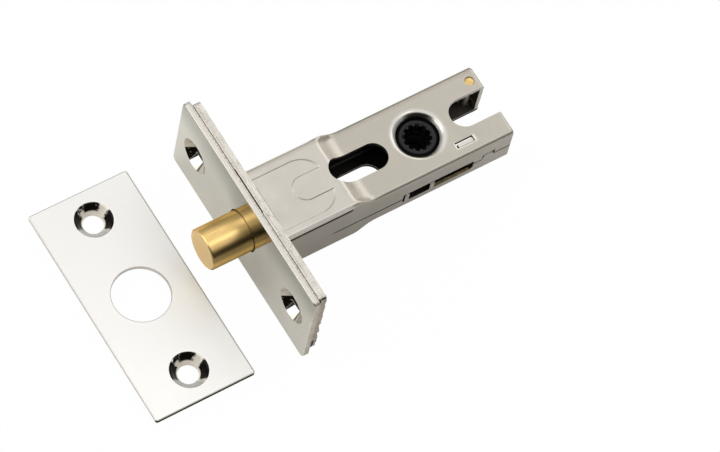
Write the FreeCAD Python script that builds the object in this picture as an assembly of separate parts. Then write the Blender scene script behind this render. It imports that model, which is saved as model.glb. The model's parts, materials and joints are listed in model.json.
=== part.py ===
import FreeCAD, Part
import math
import os

V = FreeCAD.Vector

# All sizes in millimetres.
# Origin: centre of the bolt hole in the faceplate's front face.
# +X is the way the bolt throws, +Y runs along the faceplate, +Z through the case.

# Faceplate, mounting plate and strike plate
PLATE_LENGTH = 57.0
PLATE_WIDTH = 26.0
PLATE_CORNER = 1.2
FACE_THICK = 1.5
FACE_EDGE = 0.4
PLATE_GAP = 0.25
MOUNT_LENGTH = 55.4
MOUNT_WIDTH = 24.6
MOUNT_THICK = 2.0
STRIKE_WIDTH = 25.4
STRIKE_CORNER = 0.8
STRIKE_THICK = 1.0
STRIKE_EDGE = 0.2
STRIKE_HOLE_DIA = 13.6
STRIKE_X = 24.6
STRIKE_Y = -0.9

# Screw holes
SCREW_SPACING = 42.0
SCREW_DIA = 4.9
SINK_DIA = 8.9
SINK_DEPTH = 2.4
DIMPLE_DEPTH = 2.8
DIMPLE_WALL = 0.8

# Bolt and its throw
BOLT_DIA = 10.0
BOLT_THROW = 10.5
BOLT_CHAMFER = 0.45
BOLT_REAR = -10.0
SEAT_FRONT = -4.9

# Clearances
CLEAR_RUN = 0.06
CLEAR_FREE = 0.3
CLEAR_TAB = 0.1
CLEAR_SPRING = 0.35

# How far a cutting tool runs past the faces that it opens
BEYOND = 20.0

# Case
SHEET = 1.0
CASE_WIDTH = 19.2
CASE_REAR = -65.2
FRONT_HALF = 7.8
REAR_HALF = 5.6
RAMP_START = -23.2
RAMP_END = -26.7
RAMP_BEND = 1.6
FOLD = SHEET
REAR_EDGE = 0.5
FOLD_LINE_DROP = 1.35
FOLD_LINE_SIZE = 0.28
FOLD_LINE_END = -22.2

# Emboss on the near face
CLAW_HALF = 7.0
CLAW_STRAIGHT_END = -15.4
CLAW_TIP = -20.7
CLAW_MOUTH = 3.05
CLAW_NOTCH_BOTTOM = -12.2
CLAW_ARC_X = -19.25
CLAW_ARC_Y = 5.35
CLAW_DEPTH = 0.2
STAKE_HALF = 4.7
STAKE_ROOT = 0.5
STAKE_LINE = -5.45
STAKE_LINE_WIDTH = 0.3
STAKE_LINE_DEPTH = 0.15

# Slots through the case
KEY_FRONT = -25.3
KEY_REAR = -33.5
KEY_RADIUS = 3.4
FORK_DEPTH = 11.2
FORK_RADIUS = 3.6

# Hub
BACKSET = 45.3
HUB_DIA = 10.0
HUB_RECESS = 1.1
HUB_CORE = 4.5
HUB_SHOULDER = 5.6
HUB_FLAT = 4.2
SPINDLE = 5.0
SPINDLE_TURN = 15.0
DISH_DIA = 12.8
COLLAR_WALL = 1.0
COLLAR_FLARE = 0.4
COLLAR_LIP = 0.85
ARM_THICK = 2.2
ARM_WIDTH = 1.2
ARM_TIP = 0.8
ARM_SWING = 45.0

# Tail bar
TAIL_THICK = 1.2
TAIL_TOP = -1.0
TONGUE_HALF = 3.4
LEG_INNER = 4.9
LEG_FREE_END = -38.0
LEG_PAST_LUG = 0.8
BRIDGE = 2.1
BRIDGE_FRONT = -10.0
LUG_LENGTH = 1.8
NOTCH_TIP_HALF = 1.15
NOTCH_MOUTH_HALF = 1.9

# Fasteners
TAIL_RIVET_DIA = 2.0
TAIL_RIVET_SPACING = 2.4
TAIL_RIVET_HEAD = 3.4
TAIL_RIVET_HEAD_THICK = 0.6
TAIL_RIVET_DEPTH = 3.0
REAR_RIVET_DIA = 2.3
REAR_RIVET_INSET = 2.3
REAR_RIVET_EDGE = 3.3
REAR_RIVET_SINK = 0.12

# Lanced tab that joins the shells
TAB_INSET = 11.45
TAB_EDGE = 3.0
TAB_LENGTH = 4.5
TAB_SHOW = 0.45

# Detent spring
SPRING_THICK = 0.4
SPRING_HEIGHT = 2.2
SPRING_HALF_SPAN = 6.8
SPRING_RADIUS = 9.2

# Bolt guide
GUIDE_REAR = -9.4
GUIDE_CHAMFER = 1.0

# Seam between the shells, on the +Y wall
SEAM_Z = -1.3
SEAM_FREE_X = -19.0
SEAM_GAP = 0.28
WINDOW_FRONT = -36.4
WINDOW_REAR = -55.1
WINDOW_TOP = 0.4
WINDOW_BOTTOM = -2.9
WINDOW_CORNER = 0.7
LUG_A_FRONT = -36.95
LUG_A_REAR = -38.05
LUG_A_TOP = 0.0
LUG_A_CORNER = 0.3
LUG_B_FRONT = -43.6
LUG_B_REAR = -44.8
LUG_B_TOP = -0.5
JOG_INSET = 8.0
JOG_TOP = 1.05
JOG_REAR_INSET = 4.6
REAR_SEAM_Z = 0.0
PLAIN_SEAM_Z = -1.7

# Derived sizes
BOLT_R = BOLT_DIA / 2
CASE_HALF = CASE_WIDTH / 2
WALL_IN = CASE_HALF - SHEET
FORK_BOTTOM = CASE_REAR + FORK_DEPTH
REAR_RIVET_X = CASE_REAR + REAR_RIVET_INSET
REAR_RIVET_Y = REAR_RIVET_EDGE - CASE_HALF
TAB_X = CASE_REAR + TAB_INSET
TAB_Y = CASE_HALF - TAB_EDGE
JOG_X = CASE_REAR + JOG_INSET
JOG_REAR = CASE_REAR + JOG_REAR_INSET
MOUNT_FRONT = -FACE_THICK - PLATE_GAP
CASE_FRONT = MOUNT_FRONT - MOUNT_THICK
HUB_X = -BACKSET
HUB_TOP = REAR_HALF - HUB_RECESS
HUB_HOLE_R = HUB_DIA / 2 + CLEAR_RUN
DISH_DEPTH = DISH_DIA / 2 - HUB_HOLE_R
COLLAR_END = REAR_HALF - DISH_DEPTH - COLLAR_LIP
TAIL_BOTTOM = TAIL_TOP - TAIL_THICK
ARM_LOW = TAIL_TOP + CLEAR_FREE
ARM_REACH = BOLT_THROW / 2 / math.sin(math.radians(ARM_SWING))
TIP_X = HUB_X + BOLT_THROW / 2
LEG_OUTER = WALL_IN - CLEAR_FREE
LEG_END = TIP_X - NOTCH_MOUTH_HALF - LUG_LENGTH - LEG_PAST_LUG
STRIKE_TOP = DIMPLE_DEPTH - PLATE_WIDTH / 2
TAIL_RIVET_MID = (BOLT_REAR + SEAT_FRONT) / 2
TAIL_RIVET_XS = (TAIL_RIVET_MID - TAIL_RIVET_SPACING / 2, TAIL_RIVET_MID + TAIL_RIVET_SPACING / 2)
ARM_HIGH = ARM_LOW + ARM_THICK


def box(x0, x1, y0, y1, z0, z1):
    size = (x1 - x0, y1 - y0, z1 - z0)
    return Part.makeBox(size[0], size[1], size[2], V(x0, y0, z0))


def rod(radius, start, end):
    axis = end.sub(start)
    return Part.makeCylinder(radius, axis.Length, start, axis)


def prism(points, direction):
    wire = Part.makePolygon(points + [points[0]])
    return Part.Face(wire).extrude(direction)


def edges_where(shape, test):
    return [edge for edge in shape.Edges if test(edge.BoundBox)]


def runs_along(box_of_edge, axis):
    spans = [box_of_edge.XLength, box_of_edge.YLength, box_of_edge.ZLength]
    others = [span for index, span in enumerate(spans) if index != axis]
    return spans[axis] > 1e-3 and max(others) < 1e-4


def turned_over(piece):
    other = piece.copy()
    other.rotate(V(0, 0, 0), V(1, 0, 0), 180)
    return other


def plate(x0, x1, length, width, corner):
    slab = box(x0, x1, -length / 2, length / 2, -width / 2, width / 2)
    return slab.makeFillet(corner, edges_where(slab, lambda b: runs_along(b, 0)))


def sink(x_face, y):
    start = V(x_face, y, 0)
    cone = Part.makeCone(SINK_DIA / 2, SCREW_DIA / 2, SINK_DEPTH, start, V(-1, 0, 0))
    shank = rod(SCREW_DIA / 2, start, V(x_face - BEYOND, y, 0))
    return cone.fuse(shank)


def screw_sinks():
    half = SCREW_SPACING / 2
    return sink(0, half).fuse(sink(0, -half))


def bore_x(radius):
    return rod(radius, V(-BEYOND, 0, 0), V(BEYOND, 0, 0))


def faceplate():
    slab = plate(-FACE_THICK, 0, PLATE_LENGTH, PLATE_WIDTH, PLATE_CORNER)
    rim = edges_where(slab, lambda b: b.XMin > -1e-4)
    slab = slab.makeChamfer(FACE_EDGE, rim)
    return slab.cut(bore_x(BOLT_R + CLEAR_FREE)).cut(screw_sinks())


def shell_tab(sign):
    low = FRONT_HALF - SHEET
    root = CASE_FRONT - STAKE_ROOT
    tab = box(root, MOUNT_FRONT, -STAKE_HALF, STAKE_HALF, low, FRONT_HALF)
    if sign < 0:
        tab = turned_over(tab)
    return tab


def mounting_plate():
    slab = plate(CASE_FRONT, MOUNT_FRONT, MOUNT_LENGTH, MOUNT_WIDTH, PLATE_CORNER)
    slab = slab.cut(bore_x(BOLT_R + CLEAR_FREE)).cut(screw_sinks())
    return slab.cut(shell_tab(1)).cut(shell_tab(-1))


def dimple(y):
    wide = SINK_DIA / 2 + DIMPLE_WALL / 2
    narrow = SCREW_DIA / 2 + DIMPLE_WALL
    start = V(-STRIKE_THICK / 2, y, 0)
    drop = DIMPLE_DEPTH - STRIKE_THICK / 2
    return Part.makeCone(wide, narrow, drop, start, V(-1, 0, 0))


def strike_plate():
    slab = plate(-STRIKE_THICK, 0, PLATE_LENGTH, STRIKE_WIDTH, STRIKE_CORNER)
    rim = edges_where(slab, lambda b: b.XMin > -1e-4)
    slab = slab.makeChamfer(STRIKE_EDGE, rim)
    half = SCREW_SPACING / 2
    slab = slab.fuse(dimple(half)).fuse(dimple(-half))
    slab = slab.cut(bore_x(STRIKE_HOLE_DIA / 2)).cut(screw_sinks())
    slab.rotate(V(0, 0, 0), V(0, 1, 0), -90)
    slab.translate(V(STRIKE_X, STRIKE_Y, STRIKE_TOP))
    return slab


def arc_corner(before, at, after, radius):
    to_before = before.sub(at).normalize()
    to_after = after.sub(at).normalize()
    half = to_before.getAngle(to_after) / 2
    reach = radius / math.tan(half)
    start = at + to_before * reach
    end = at + to_after * reach
    inward = (to_before + to_after).normalize()
    centre = at + inward * (radius / math.sin(half))
    return start, centre - inward * radius, end


def rounded_wire(corners):
    count = len(corners)
    pieces = []
    ends = []
    for index, (at, radius) in enumerate(corners):
        before = corners[index - 1][0]
        after = corners[(index + 1) % count][0]
        if radius:
            start, middle, end = arc_corner(before, at, after, radius)
            pieces.append(Part.Arc(start, middle, end).toShape())
            ends.append((start, end))
        else:
            ends.append((at, at))
    for index in range(count):
        start = ends[index][1]
        end = ends[(index + 1) % count][0]
        pieces.append(Part.LineSegment(start, end).toShape())
    return Part.Wire(Part.__sortEdges__(pieces))


def case_corners(inset, rear):
    slope = math.atan2(FRONT_HALF - REAR_HALF, RAMP_START - RAMP_END)
    shift = inset * math.tan(slope / 2)
    tall = FRONT_HALF - inset
    low = REAR_HALF - inset
    top = [(CASE_FRONT, tall, 0), (RAMP_START + shift, tall, RAMP_BEND - inset)]
    top += [(RAMP_END + shift, low, RAMP_BEND + inset), (rear, low, 0)]
    points = top + [(x, -z, r) for x, z, r in reversed(top)]
    return [(V(x, 0, z), r) for x, z, r in points]


def case_solid(inset, rear):
    face = Part.Face(rounded_wire(case_corners(inset, rear)))
    half = CASE_HALF - inset
    face.translate(V(0, -half, 0))
    return face.extrude(V(0, 2 * half, 0))


def is_fold(b):
    on_side = abs(abs(b.Center.y) - CASE_HALF) < 1e-3 and b.YLength < 1e-3
    return on_side and b.XLength > 1e-3


def hollow_case():
    outside = case_solid(0, CASE_REAR)
    outside = outside.makeFillet(FOLD, edges_where(outside, is_fold))
    rear = edges_where(outside, lambda b: b.XMax < CASE_REAR + 1e-3)
    outside = outside.makeChamfer(REAR_EDGE, rear)
    return outside.cut(case_solid(SHEET, CASE_REAR + SHEET))


def bore_z(radius, x, y=0):
    return rod(radius, V(x, y, -BEYOND), V(x, y, BEYOND))


def key_slot():
    ends = bore_z(KEY_RADIUS, KEY_FRONT).fuse(bore_z(KEY_RADIUS, KEY_REAR))
    middle = box(KEY_REAR, KEY_FRONT, -KEY_RADIUS, KEY_RADIUS, -BEYOND, BEYOND)
    return ends.fuse(middle)


def fork_slot():
    x = FORK_BOTTOM - FORK_RADIUS
    open_end = box(CASE_REAR - BEYOND, x, -FORK_RADIUS, FORK_RADIUS, -BEYOND, BEYOND)
    return bore_z(FORK_RADIUS, x).fuse(open_end)


def collar():
    wide = DISH_DIA / 2 + COLLAR_FLARE
    narrow = HUB_HOLE_R + COLLAR_WALL
    top = V(HUB_X, 0, REAR_HALF - SHEET / 2)
    pressed = Part.makeCone(wide, narrow, DISH_DEPTH, top, V(0, 0, -1))
    return pressed.fuse(rod(narrow, V(HUB_X, 0, COLLAR_END), top))


def hub_hole():
    bore = rod(HUB_HOLE_R, V(HUB_X, 0, 0), V(HUB_X, 0, BEYOND))
    top = V(HUB_X, 0, REAR_HALF)
    dish = Part.makeCone(DISH_DIA / 2, HUB_HOLE_R, DISH_DEPTH, top, V(0, 0, -1))
    return bore.fuse(dish)


def with_collars(case):
    ring = collar()
    hole = hub_hole()
    case = case.fuse(ring).fuse(turned_over(ring))
    return case.cut(hole).cut(turned_over(hole))


def pierced_case():
    case = with_collars(hollow_case())
    case = case.cut(key_slot()).cut(fork_slot())
    return case.cut(bore_z(REAR_RIVET_DIA / 2, REAR_RIVET_X, REAR_RIVET_Y))


def side_prism(outline, y0, y1):
    points = [V(x, y0, z) for x, z in outline]
    return prism(points, V(0, y1 - y0, 0))


def near_seam():
    return [
        (BEYOND, BEYOND),
        (BEYOND, SEAM_Z),
        (WINDOW_FRONT, SEAM_Z),
        (WINDOW_FRONT, WINDOW_TOP),
        (WINDOW_REAR, WINDOW_TOP),
        (WINDOW_REAR, SEAM_Z / 2),
        (JOG_X, SEAM_Z / 2),
        (JOG_X - CLEAR_FREE, JOG_TOP),
        (JOG_REAR, JOG_TOP),
        (JOG_REAR, REAR_SEAM_Z),
        (CASE_REAR - BEYOND, REAR_SEAM_Z),
        (CASE_REAR - BEYOND, BEYOND),
    ]


def far_seam():
    return [
        (BEYOND, -BEYOND),
        (BEYOND, SEAM_Z),
        (SEAM_FREE_X, SEAM_Z),
        (WINDOW_FRONT, SEAM_Z - SEAM_GAP),
        (WINDOW_FRONT, WINDOW_BOTTOM),
        (LUG_A_FRONT, WINDOW_BOTTOM),
        (LUG_A_FRONT, LUG_A_TOP - LUG_A_CORNER),
        (LUG_A_FRONT - LUG_A_CORNER, LUG_A_TOP),
        (LUG_A_REAR + LUG_A_CORNER, LUG_A_TOP),
        (LUG_A_REAR, LUG_A_TOP - LUG_A_CORNER),
        (LUG_A_REAR, WINDOW_BOTTOM),
        (LUG_B_FRONT, WINDOW_BOTTOM),
        (LUG_B_FRONT, LUG_B_TOP),
        (LUG_B_REAR, LUG_B_TOP),
        (LUG_B_REAR, WINDOW_BOTTOM),
        (WINDOW_REAR + WINDOW_CORNER, WINDOW_BOTTOM),
        (WINDOW_REAR, WINDOW_BOTTOM + WINDOW_CORNER),
        (WINDOW_REAR, SEAM_Z / 2 - SEAM_GAP),
        (JOG_X, SEAM_Z / 2 - SEAM_GAP),
        (JOG_X - 2 * CLEAR_FREE, REAR_SEAM_Z + SEAM_GAP),
        (JOG_REAR + CLEAR_FREE, REAR_SEAM_Z + SEAM_GAP),
        (JOG_REAR + CLEAR_FREE, REAR_SEAM_Z - SEAM_GAP),
        (CASE_REAR - BEYOND, REAR_SEAM_Z - SEAM_GAP),
        (CASE_REAR - BEYOND, -BEYOND),
    ]


def claw():
    low = FRONT_HALF - CLAW_DEPTH
    notch_x = CLAW_NOTCH_BOTTOM - CLAW_MOUTH
    tip = V(CLAW_TIP, CLAW_MOUTH, low)
    end = V(CLAW_STRAIGHT_END, CLAW_HALF, low)
    middle = V(CLAW_ARC_X, CLAW_ARC_Y, low)
    start = V(BEYOND, CLAW_HALF, low)
    neck = V(notch_x, CLAW_MOUTH, low)
    bottom = V(CLAW_NOTCH_BOTTOM, 0, low)

    def other(point):
        return V(point.x, -point.y, point.z)

    edges = [
        Part.LineSegment(start, end).toShape(),
        Part.Arc(end, middle, tip).toShape(),
        Part.LineSegment(tip, neck).toShape(),
        Part.Arc(neck, bottom, other(neck)).toShape(),
        Part.LineSegment(other(neck), other(tip)).toShape(),
        Part.Arc(other(tip), other(middle), other(end)).toShape(),
        Part.LineSegment(other(end), other(start)).toShape(),
        Part.LineSegment(other(start), start).toShape(),
    ]
    return Part.Face(Part.Wire(edges)).extrude(V(0, 0, BEYOND))


def stake_line():
    x1 = STAKE_LINE + STAKE_LINE_WIDTH
    low = FRONT_HALF - CLAW_DEPTH - STAKE_LINE_DEPTH
    return box(STAKE_LINE, x1, -STAKE_HALF, STAKE_HALF, low, BEYOND)


def fold_lines():
    z = FRONT_HALF - FOLD_LINE_DROP
    y = CASE_HALF - FOLD_LINE_SIZE
    right = box(FOLD_LINE_END, BEYOND, y, BEYOND, z - FOLD_LINE_SIZE, z)
    return right.fuse(box(FOLD_LINE_END, BEYOND, -BEYOND, -y, z - FOLD_LINE_SIZE, z))


def tab_block(grow, top):
    x = TAB_LENGTH / 2 + grow
    y = SHEET / 2 + grow
    return box(TAB_X - x, TAB_X + x, TAB_Y - y, TAB_Y + y, -REAR_HALF + SHEET / 2, top)


def half_space(z0, z1):
    return box(CASE_REAR - BEYOND, BEYOND, -BEYOND, 0, z0, z1)


def near_shell(case):
    plus = side_prism(near_seam(), 0, BEYOND)
    minus = half_space(PLAIN_SEAM_Z, BEYOND)
    shell = case.common(plus.fuse(minus)).fuse(shell_tab(1))
    shell = shell.cut(claw()).cut(stake_line()).cut(fold_lines())
    return shell.cut(tab_block(CLEAR_TAB, BEYOND))


def far_shell(case):
    plus = side_prism(far_seam(), 0, BEYOND)
    minus = half_space(-BEYOND, PLAIN_SEAM_Z - SEAM_GAP)
    shell = case.common(plus.fuse(minus)).fuse(shell_tab(-1))
    floor_z = -REAR_HALF + FOLD
    behind = CASE_REAR - BEYOND
    opening = box(behind, CASE_REAR + SHEET, -WALL_IN, WALL_IN, floor_z, BEYOND)
    return shell.cut(opening).fuse(tab_block(0, REAR_HALF - TAB_SHOW))


def bolt_guide():
    y = WALL_IN - CLEAR_TAB
    z = FRONT_HALF - SHEET - CLEAR_TAB
    block = box(GUIDE_REAR, CASE_FRONT, -y, y, -z, z)
    corners = edges_where(block, lambda b: runs_along(b, 0))
    block = block.makeChamfer(GUIDE_CHAMFER, corners)
    return block.cut(bore_x(BOLT_R + CLEAR_RUN))


def rivet_stud(x):
    return rod(TAIL_RIVET_DIA / 2, V(x, 0, TAIL_BOTTOM), V(x, 0, TAIL_TOP + TAIL_RIVET_DEPTH))


def bolt():
    body = rod(BOLT_R, V(BOLT_REAR, 0, 0), V(BOLT_THROW, 0, 0))
    nose = edges_where(body, lambda b: b.XMin > BOLT_THROW - 1e-3)
    body = body.makeChamfer(BOLT_CHAMFER, nose)
    seat = box(-BEYOND, SEAT_FRONT, -BOLT_R, BOLT_R, -BOLT_R, TAIL_TOP)
    body = body.cut(seat)
    for x in TAIL_RIVET_XS:
        body = body.cut(rivet_stud(x))
    return body


def drive_lug(side):
    inner = -LEG_INNER
    outer = -LEG_OUTER
    tip_y = -ARM_REACH
    far = NOTCH_MOUTH_HALF + LUG_LENGTH
    outline = [
        (NOTCH_MOUTH_HALF, inner),
        (NOTCH_TIP_HALF, tip_y),
        (NOTCH_TIP_HALF, outer),
        (far, outer),
        (far, inner),
    ]
    points = [V(TIP_X + side * x, y, TAIL_BOTTOM) for x, y in outline]
    return prism(points, V(0, 0, ARM_HIGH - TAIL_BOTTOM))


def tail_bar():
    z0 = TAIL_BOTTOM
    z1 = TAIL_TOP
    bridge_rear = BRIDGE_FRONT - BRIDGE
    tongue = box(bridge_rear, SEAT_FRONT - CLEAR_TAB, -TONGUE_HALF, TONGUE_HALF, z0, z1)
    bridge = box(bridge_rear, BRIDGE_FRONT, -LEG_OUTER, LEG_OUTER, z0, z1)
    free = box(LEG_FREE_END, bridge_rear, LEG_INNER, LEG_OUTER, z0, z1)
    drive = box(LEG_END, bridge_rear, -LEG_OUTER, -LEG_INNER, z0, z1)
    bar = tongue.fuse(bridge).fuse(free).fuse(drive)
    bar = bar.fuse(drive_lug(1)).fuse(drive_lug(-1)).removeSplitter()
    for x in TAIL_RIVET_XS:
        bar = bar.cut(rivet_stud(x))
    return bar


def tail_rivets():
    studs = []
    for x in TAIL_RIVET_XS:
        low = TAIL_BOTTOM - TAIL_RIVET_HEAD_THICK
        head = rod(TAIL_RIVET_HEAD / 2, V(x, 0, low), V(x, 0, TAIL_BOTTOM))
        studs.append(rivet_stud(x).fuse(head))
    return Part.makeCompound(studs)


def square_bar(turn):
    half = SPINDLE / 2
    bar = box(-half, half, -half, half, -BEYOND, BEYOND)
    bar.rotate(V(0, 0, 0), V(0, 0, 1), turn)
    bar.translate(V(HUB_X, 0, 0))
    return bar


def star_socket():
    turns = [SPINDLE_TURN + 30 * step for step in range(3)]
    bars = [square_bar(turn) for turn in turns]
    return bars[0].multiFuse(bars[1:])


def hub_arm():
    low = V(ARM_REACH, 0, ARM_LOW)
    tip = rod(ARM_TIP, low, low + V(0, 0, ARM_THICK))
    half = ARM_WIDTH / 2
    arm = box(0, ARM_REACH, -half, half, ARM_LOW, ARM_HIGH).fuse(tip)
    arm.rotate(V(0, 0, 0), V(0, 0, 1), ARM_SWING - 90)
    arm.translate(V(HUB_X, 0, 0))
    return arm


def hub_flats():
    reach = HUB_SHOULDER
    low = ARM_LOW - CLEAR_FREE / 2
    high = ARM_HIGH + CLEAR_FREE / 2
    side = box(HUB_X - reach, HUB_X + reach, HUB_FLAT, reach, low, high)
    rear = box(HUB_X - reach, HUB_X - HUB_FLAT, -reach, reach, low, high)
    return side.fuse(rear)


def hub():
    shoulder = COLLAR_END - CLEAR_TAB
    body = rod(HUB_DIA / 2, V(HUB_X, 0, -HUB_TOP), V(HUB_X, 0, HUB_TOP))
    low = TAIL_BOTTOM - CLEAR_FREE
    high = ARM_HIGH + CLEAR_FREE
    ring = rod(HUB_DIA, V(HUB_X, 0, low), V(HUB_X, 0, high))
    ring = ring.cut(rod(HUB_CORE, V(HUB_X, 0, low), V(HUB_X, 0, high)))
    body = body.cut(ring)
    for z0, z1 in ((-shoulder, low), (high, shoulder)):
        body = body.fuse(rod(HUB_SHOULDER, V(HUB_X, 0, z0), V(HUB_X, 0, z1)))
    body = body.cut(hub_flats()).fuse(hub_arm())
    return body.cut(star_socket())


def detent_spring():
    centre = HUB_CORE + CLEAR_SPRING + SPRING_RADIUS
    span = SPRING_HALF_SPAN
    low = V(HUB_X, centre, ARM_LOW)
    high = low + V(0, 0, SPRING_HEIGHT)
    ring = rod(SPRING_RADIUS, low, high).cut(rod(SPRING_RADIUS - SPRING_THICK, low, high))
    return ring.common(box(HUB_X - span, HUB_X + span, 0, WALL_IN, low.z, high.z))


def rear_rivet():
    low = V(REAR_RIVET_X, REAR_RIVET_Y, -REAR_HALF)
    high = V(REAR_RIVET_X, REAR_RIVET_Y, REAR_HALF - REAR_RIVET_SINK)
    return rod(REAR_RIVET_DIA / 2, low, high)


def main():
    os.makedirs("parts", exist_ok=True)
    case = pierced_case()
    pieces = {
        "faceplate": faceplate(),
        "mounting_plate": mounting_plate(),
        "case_shell_near": near_shell(case),
        "case_shell_far": far_shell(case),
        "bolt_guide": bolt_guide(),
        "bolt": bolt(),
        "tail_bar": tail_bar(),
        "tail_rivets": tail_rivets(),
        "hub": hub(),
        "detent_spring": detent_spring(),
        "rear_rivet": rear_rivet(),
        "strike_plate": strike_plate(),
    }
    for name, shape in pieces.items():
        shape.exportStep("parts/" + name + ".step")
        solids = len(shape.Solids)
        print(name, solids, round(shape.Volume, 2), shape.isValid())


main()
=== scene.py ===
import json
from functools import cached_property, reduce
from math import cos, pi, radians, sin, tan

import bmesh
import bpy
import numpy as np
from bpy.props import FloatProperty, FloatVectorProperty, IntProperty, PointerProperty
from mathutils import Matrix, Vector


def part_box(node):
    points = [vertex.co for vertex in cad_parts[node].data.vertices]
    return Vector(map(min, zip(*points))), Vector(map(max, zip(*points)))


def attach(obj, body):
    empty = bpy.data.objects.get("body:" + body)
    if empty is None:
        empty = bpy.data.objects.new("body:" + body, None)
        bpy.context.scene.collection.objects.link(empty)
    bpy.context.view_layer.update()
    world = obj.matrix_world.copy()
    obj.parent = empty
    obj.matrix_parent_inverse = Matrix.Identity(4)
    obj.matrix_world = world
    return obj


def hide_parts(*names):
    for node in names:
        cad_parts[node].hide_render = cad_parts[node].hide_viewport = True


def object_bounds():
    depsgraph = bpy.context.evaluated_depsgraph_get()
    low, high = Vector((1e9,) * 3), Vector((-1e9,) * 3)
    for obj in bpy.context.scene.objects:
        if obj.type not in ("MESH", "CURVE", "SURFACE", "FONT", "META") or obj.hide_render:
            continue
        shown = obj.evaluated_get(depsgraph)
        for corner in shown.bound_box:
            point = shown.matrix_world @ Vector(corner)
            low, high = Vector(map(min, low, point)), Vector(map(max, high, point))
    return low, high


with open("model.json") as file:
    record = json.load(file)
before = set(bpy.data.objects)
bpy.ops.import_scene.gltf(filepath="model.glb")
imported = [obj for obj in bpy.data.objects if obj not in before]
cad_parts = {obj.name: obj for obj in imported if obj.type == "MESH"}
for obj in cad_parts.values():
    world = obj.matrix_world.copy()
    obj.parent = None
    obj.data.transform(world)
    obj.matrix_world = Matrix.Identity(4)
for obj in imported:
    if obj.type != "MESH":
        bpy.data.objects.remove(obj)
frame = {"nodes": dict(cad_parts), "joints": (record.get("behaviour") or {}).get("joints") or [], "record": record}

bl_info = {
    "name": "Privacy bolt",
    "version": (1, 0, 0),
    "blender": (4, 5, 0),
    "location": "3D View > Sidebar > Lock",
    "description": "Dresses a mortice privacy bolt and its strike plate over their solids",
    "category": "Object",
}

MM = 0.001
FACE_LOW, FACE_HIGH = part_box("faceplate")
MOUNT_LOW, MOUNT_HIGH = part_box("mounting_plate")
NEAR_LOW, NEAR_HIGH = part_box("case_shell_near")
BOLT_LOW, BOLT_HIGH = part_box("bolt")
HUB_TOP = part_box("hub")[1].z
RIVET_LOW, RIVET_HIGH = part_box("rear_rivet")
STRIKE_LOW, STRIKE_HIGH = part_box("strike_plate")
CAD_LOW, CAD_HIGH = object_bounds()
DIMS = {mount["name"]: mount["dims"] for mount in frame["record"]["mounts"]}
JOINTS = {joint["name"]: joint for joint in frame["joints"]}
HUB_X = JOINTS["hub_turn"]["pos_m"][0]
CASE_REAR = NEAR_LOW.x
CASE_HALF = NEAR_HIGH.y
BOLT_RADIUS = (BOLT_HIGH.z - BOLT_LOW.z) / 2
RIVET_MIDDLE = (RIVET_LOW + RIVET_HIGH) / 2
RIVET_RADIUS = (RIVET_HIGH.x - RIVET_LOW.x) / 2
STRIKE_MIDDLE = (STRIKE_LOW + STRIKE_HIGH) / 2
ORIGIN = (0, 0, 0)
FAR = 0.03  # how far a tool reaches that runs right through the part
FINE = 160  # segments round the bolt and its hole in the strike plate
COARSE = 48  # segments round the rear rivet


def mm(name, description, size):
    """Length property with its default in millimetres."""
    return FloatProperty(name=name, description=description, default=size * MM, unit="LENGTH", precision=5)


def angle(name, description, degrees):
    return FloatProperty(name=name, description=description, default=radians(degrees), subtype="ANGLE")


def amount(name, description, default):
    return FloatProperty(name=name, description=description, default=default)


def colour(name, description, default):
    return FloatVectorProperty(
        name=name, description=description, default=default, subtype="COLOR", size=3, min=0, max=1
    )


class LockScrewHoles(bpy.types.PropertyGroup):
    """Countersunk screw holes of the faceplate and the strike plate."""

    spacing: mm("Spacing", "Distance between the two screws", DIMS["forend_screws"]["spacing_x_mm"])
    radius: mm("Radius", "Radius of the hole for the screw's shank", DIMS["forend_screws"]["hole_r_mm"])
    sink_radius: mm("Sink radius", "Radius of the countersink's mouth", 4.45)
    sink_depth: mm("Sink depth", "Depth of the countersink's cone", 2.4)
    rim_roll: mm("Rim roll", "Rounding where a pressed dimple leaves the plate", 0.6)
    dimple_wall: mm("Dimple wall", "Metal round the strike plate's pressed dimples", 0.8)


class LockForend(bpy.types.PropertyGroup):
    """Faceplate and the mounting plate behind it."""

    corner: mm("Corner", "Rounding of the plates' corners", 1.2)
    edge: mm("Edge", "Rounding of the faceplate's front edge", 0.3)
    burr: mm("Burr", "Depth of the mounting plate's torn end", 0.3)
    groove: mm("Groove", "Width of the gap that shows between the two plates", 0.3)
    bolt_gap: mm("Bolt gap", "Clearance round the bolt in both plates", 0.3)


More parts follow.
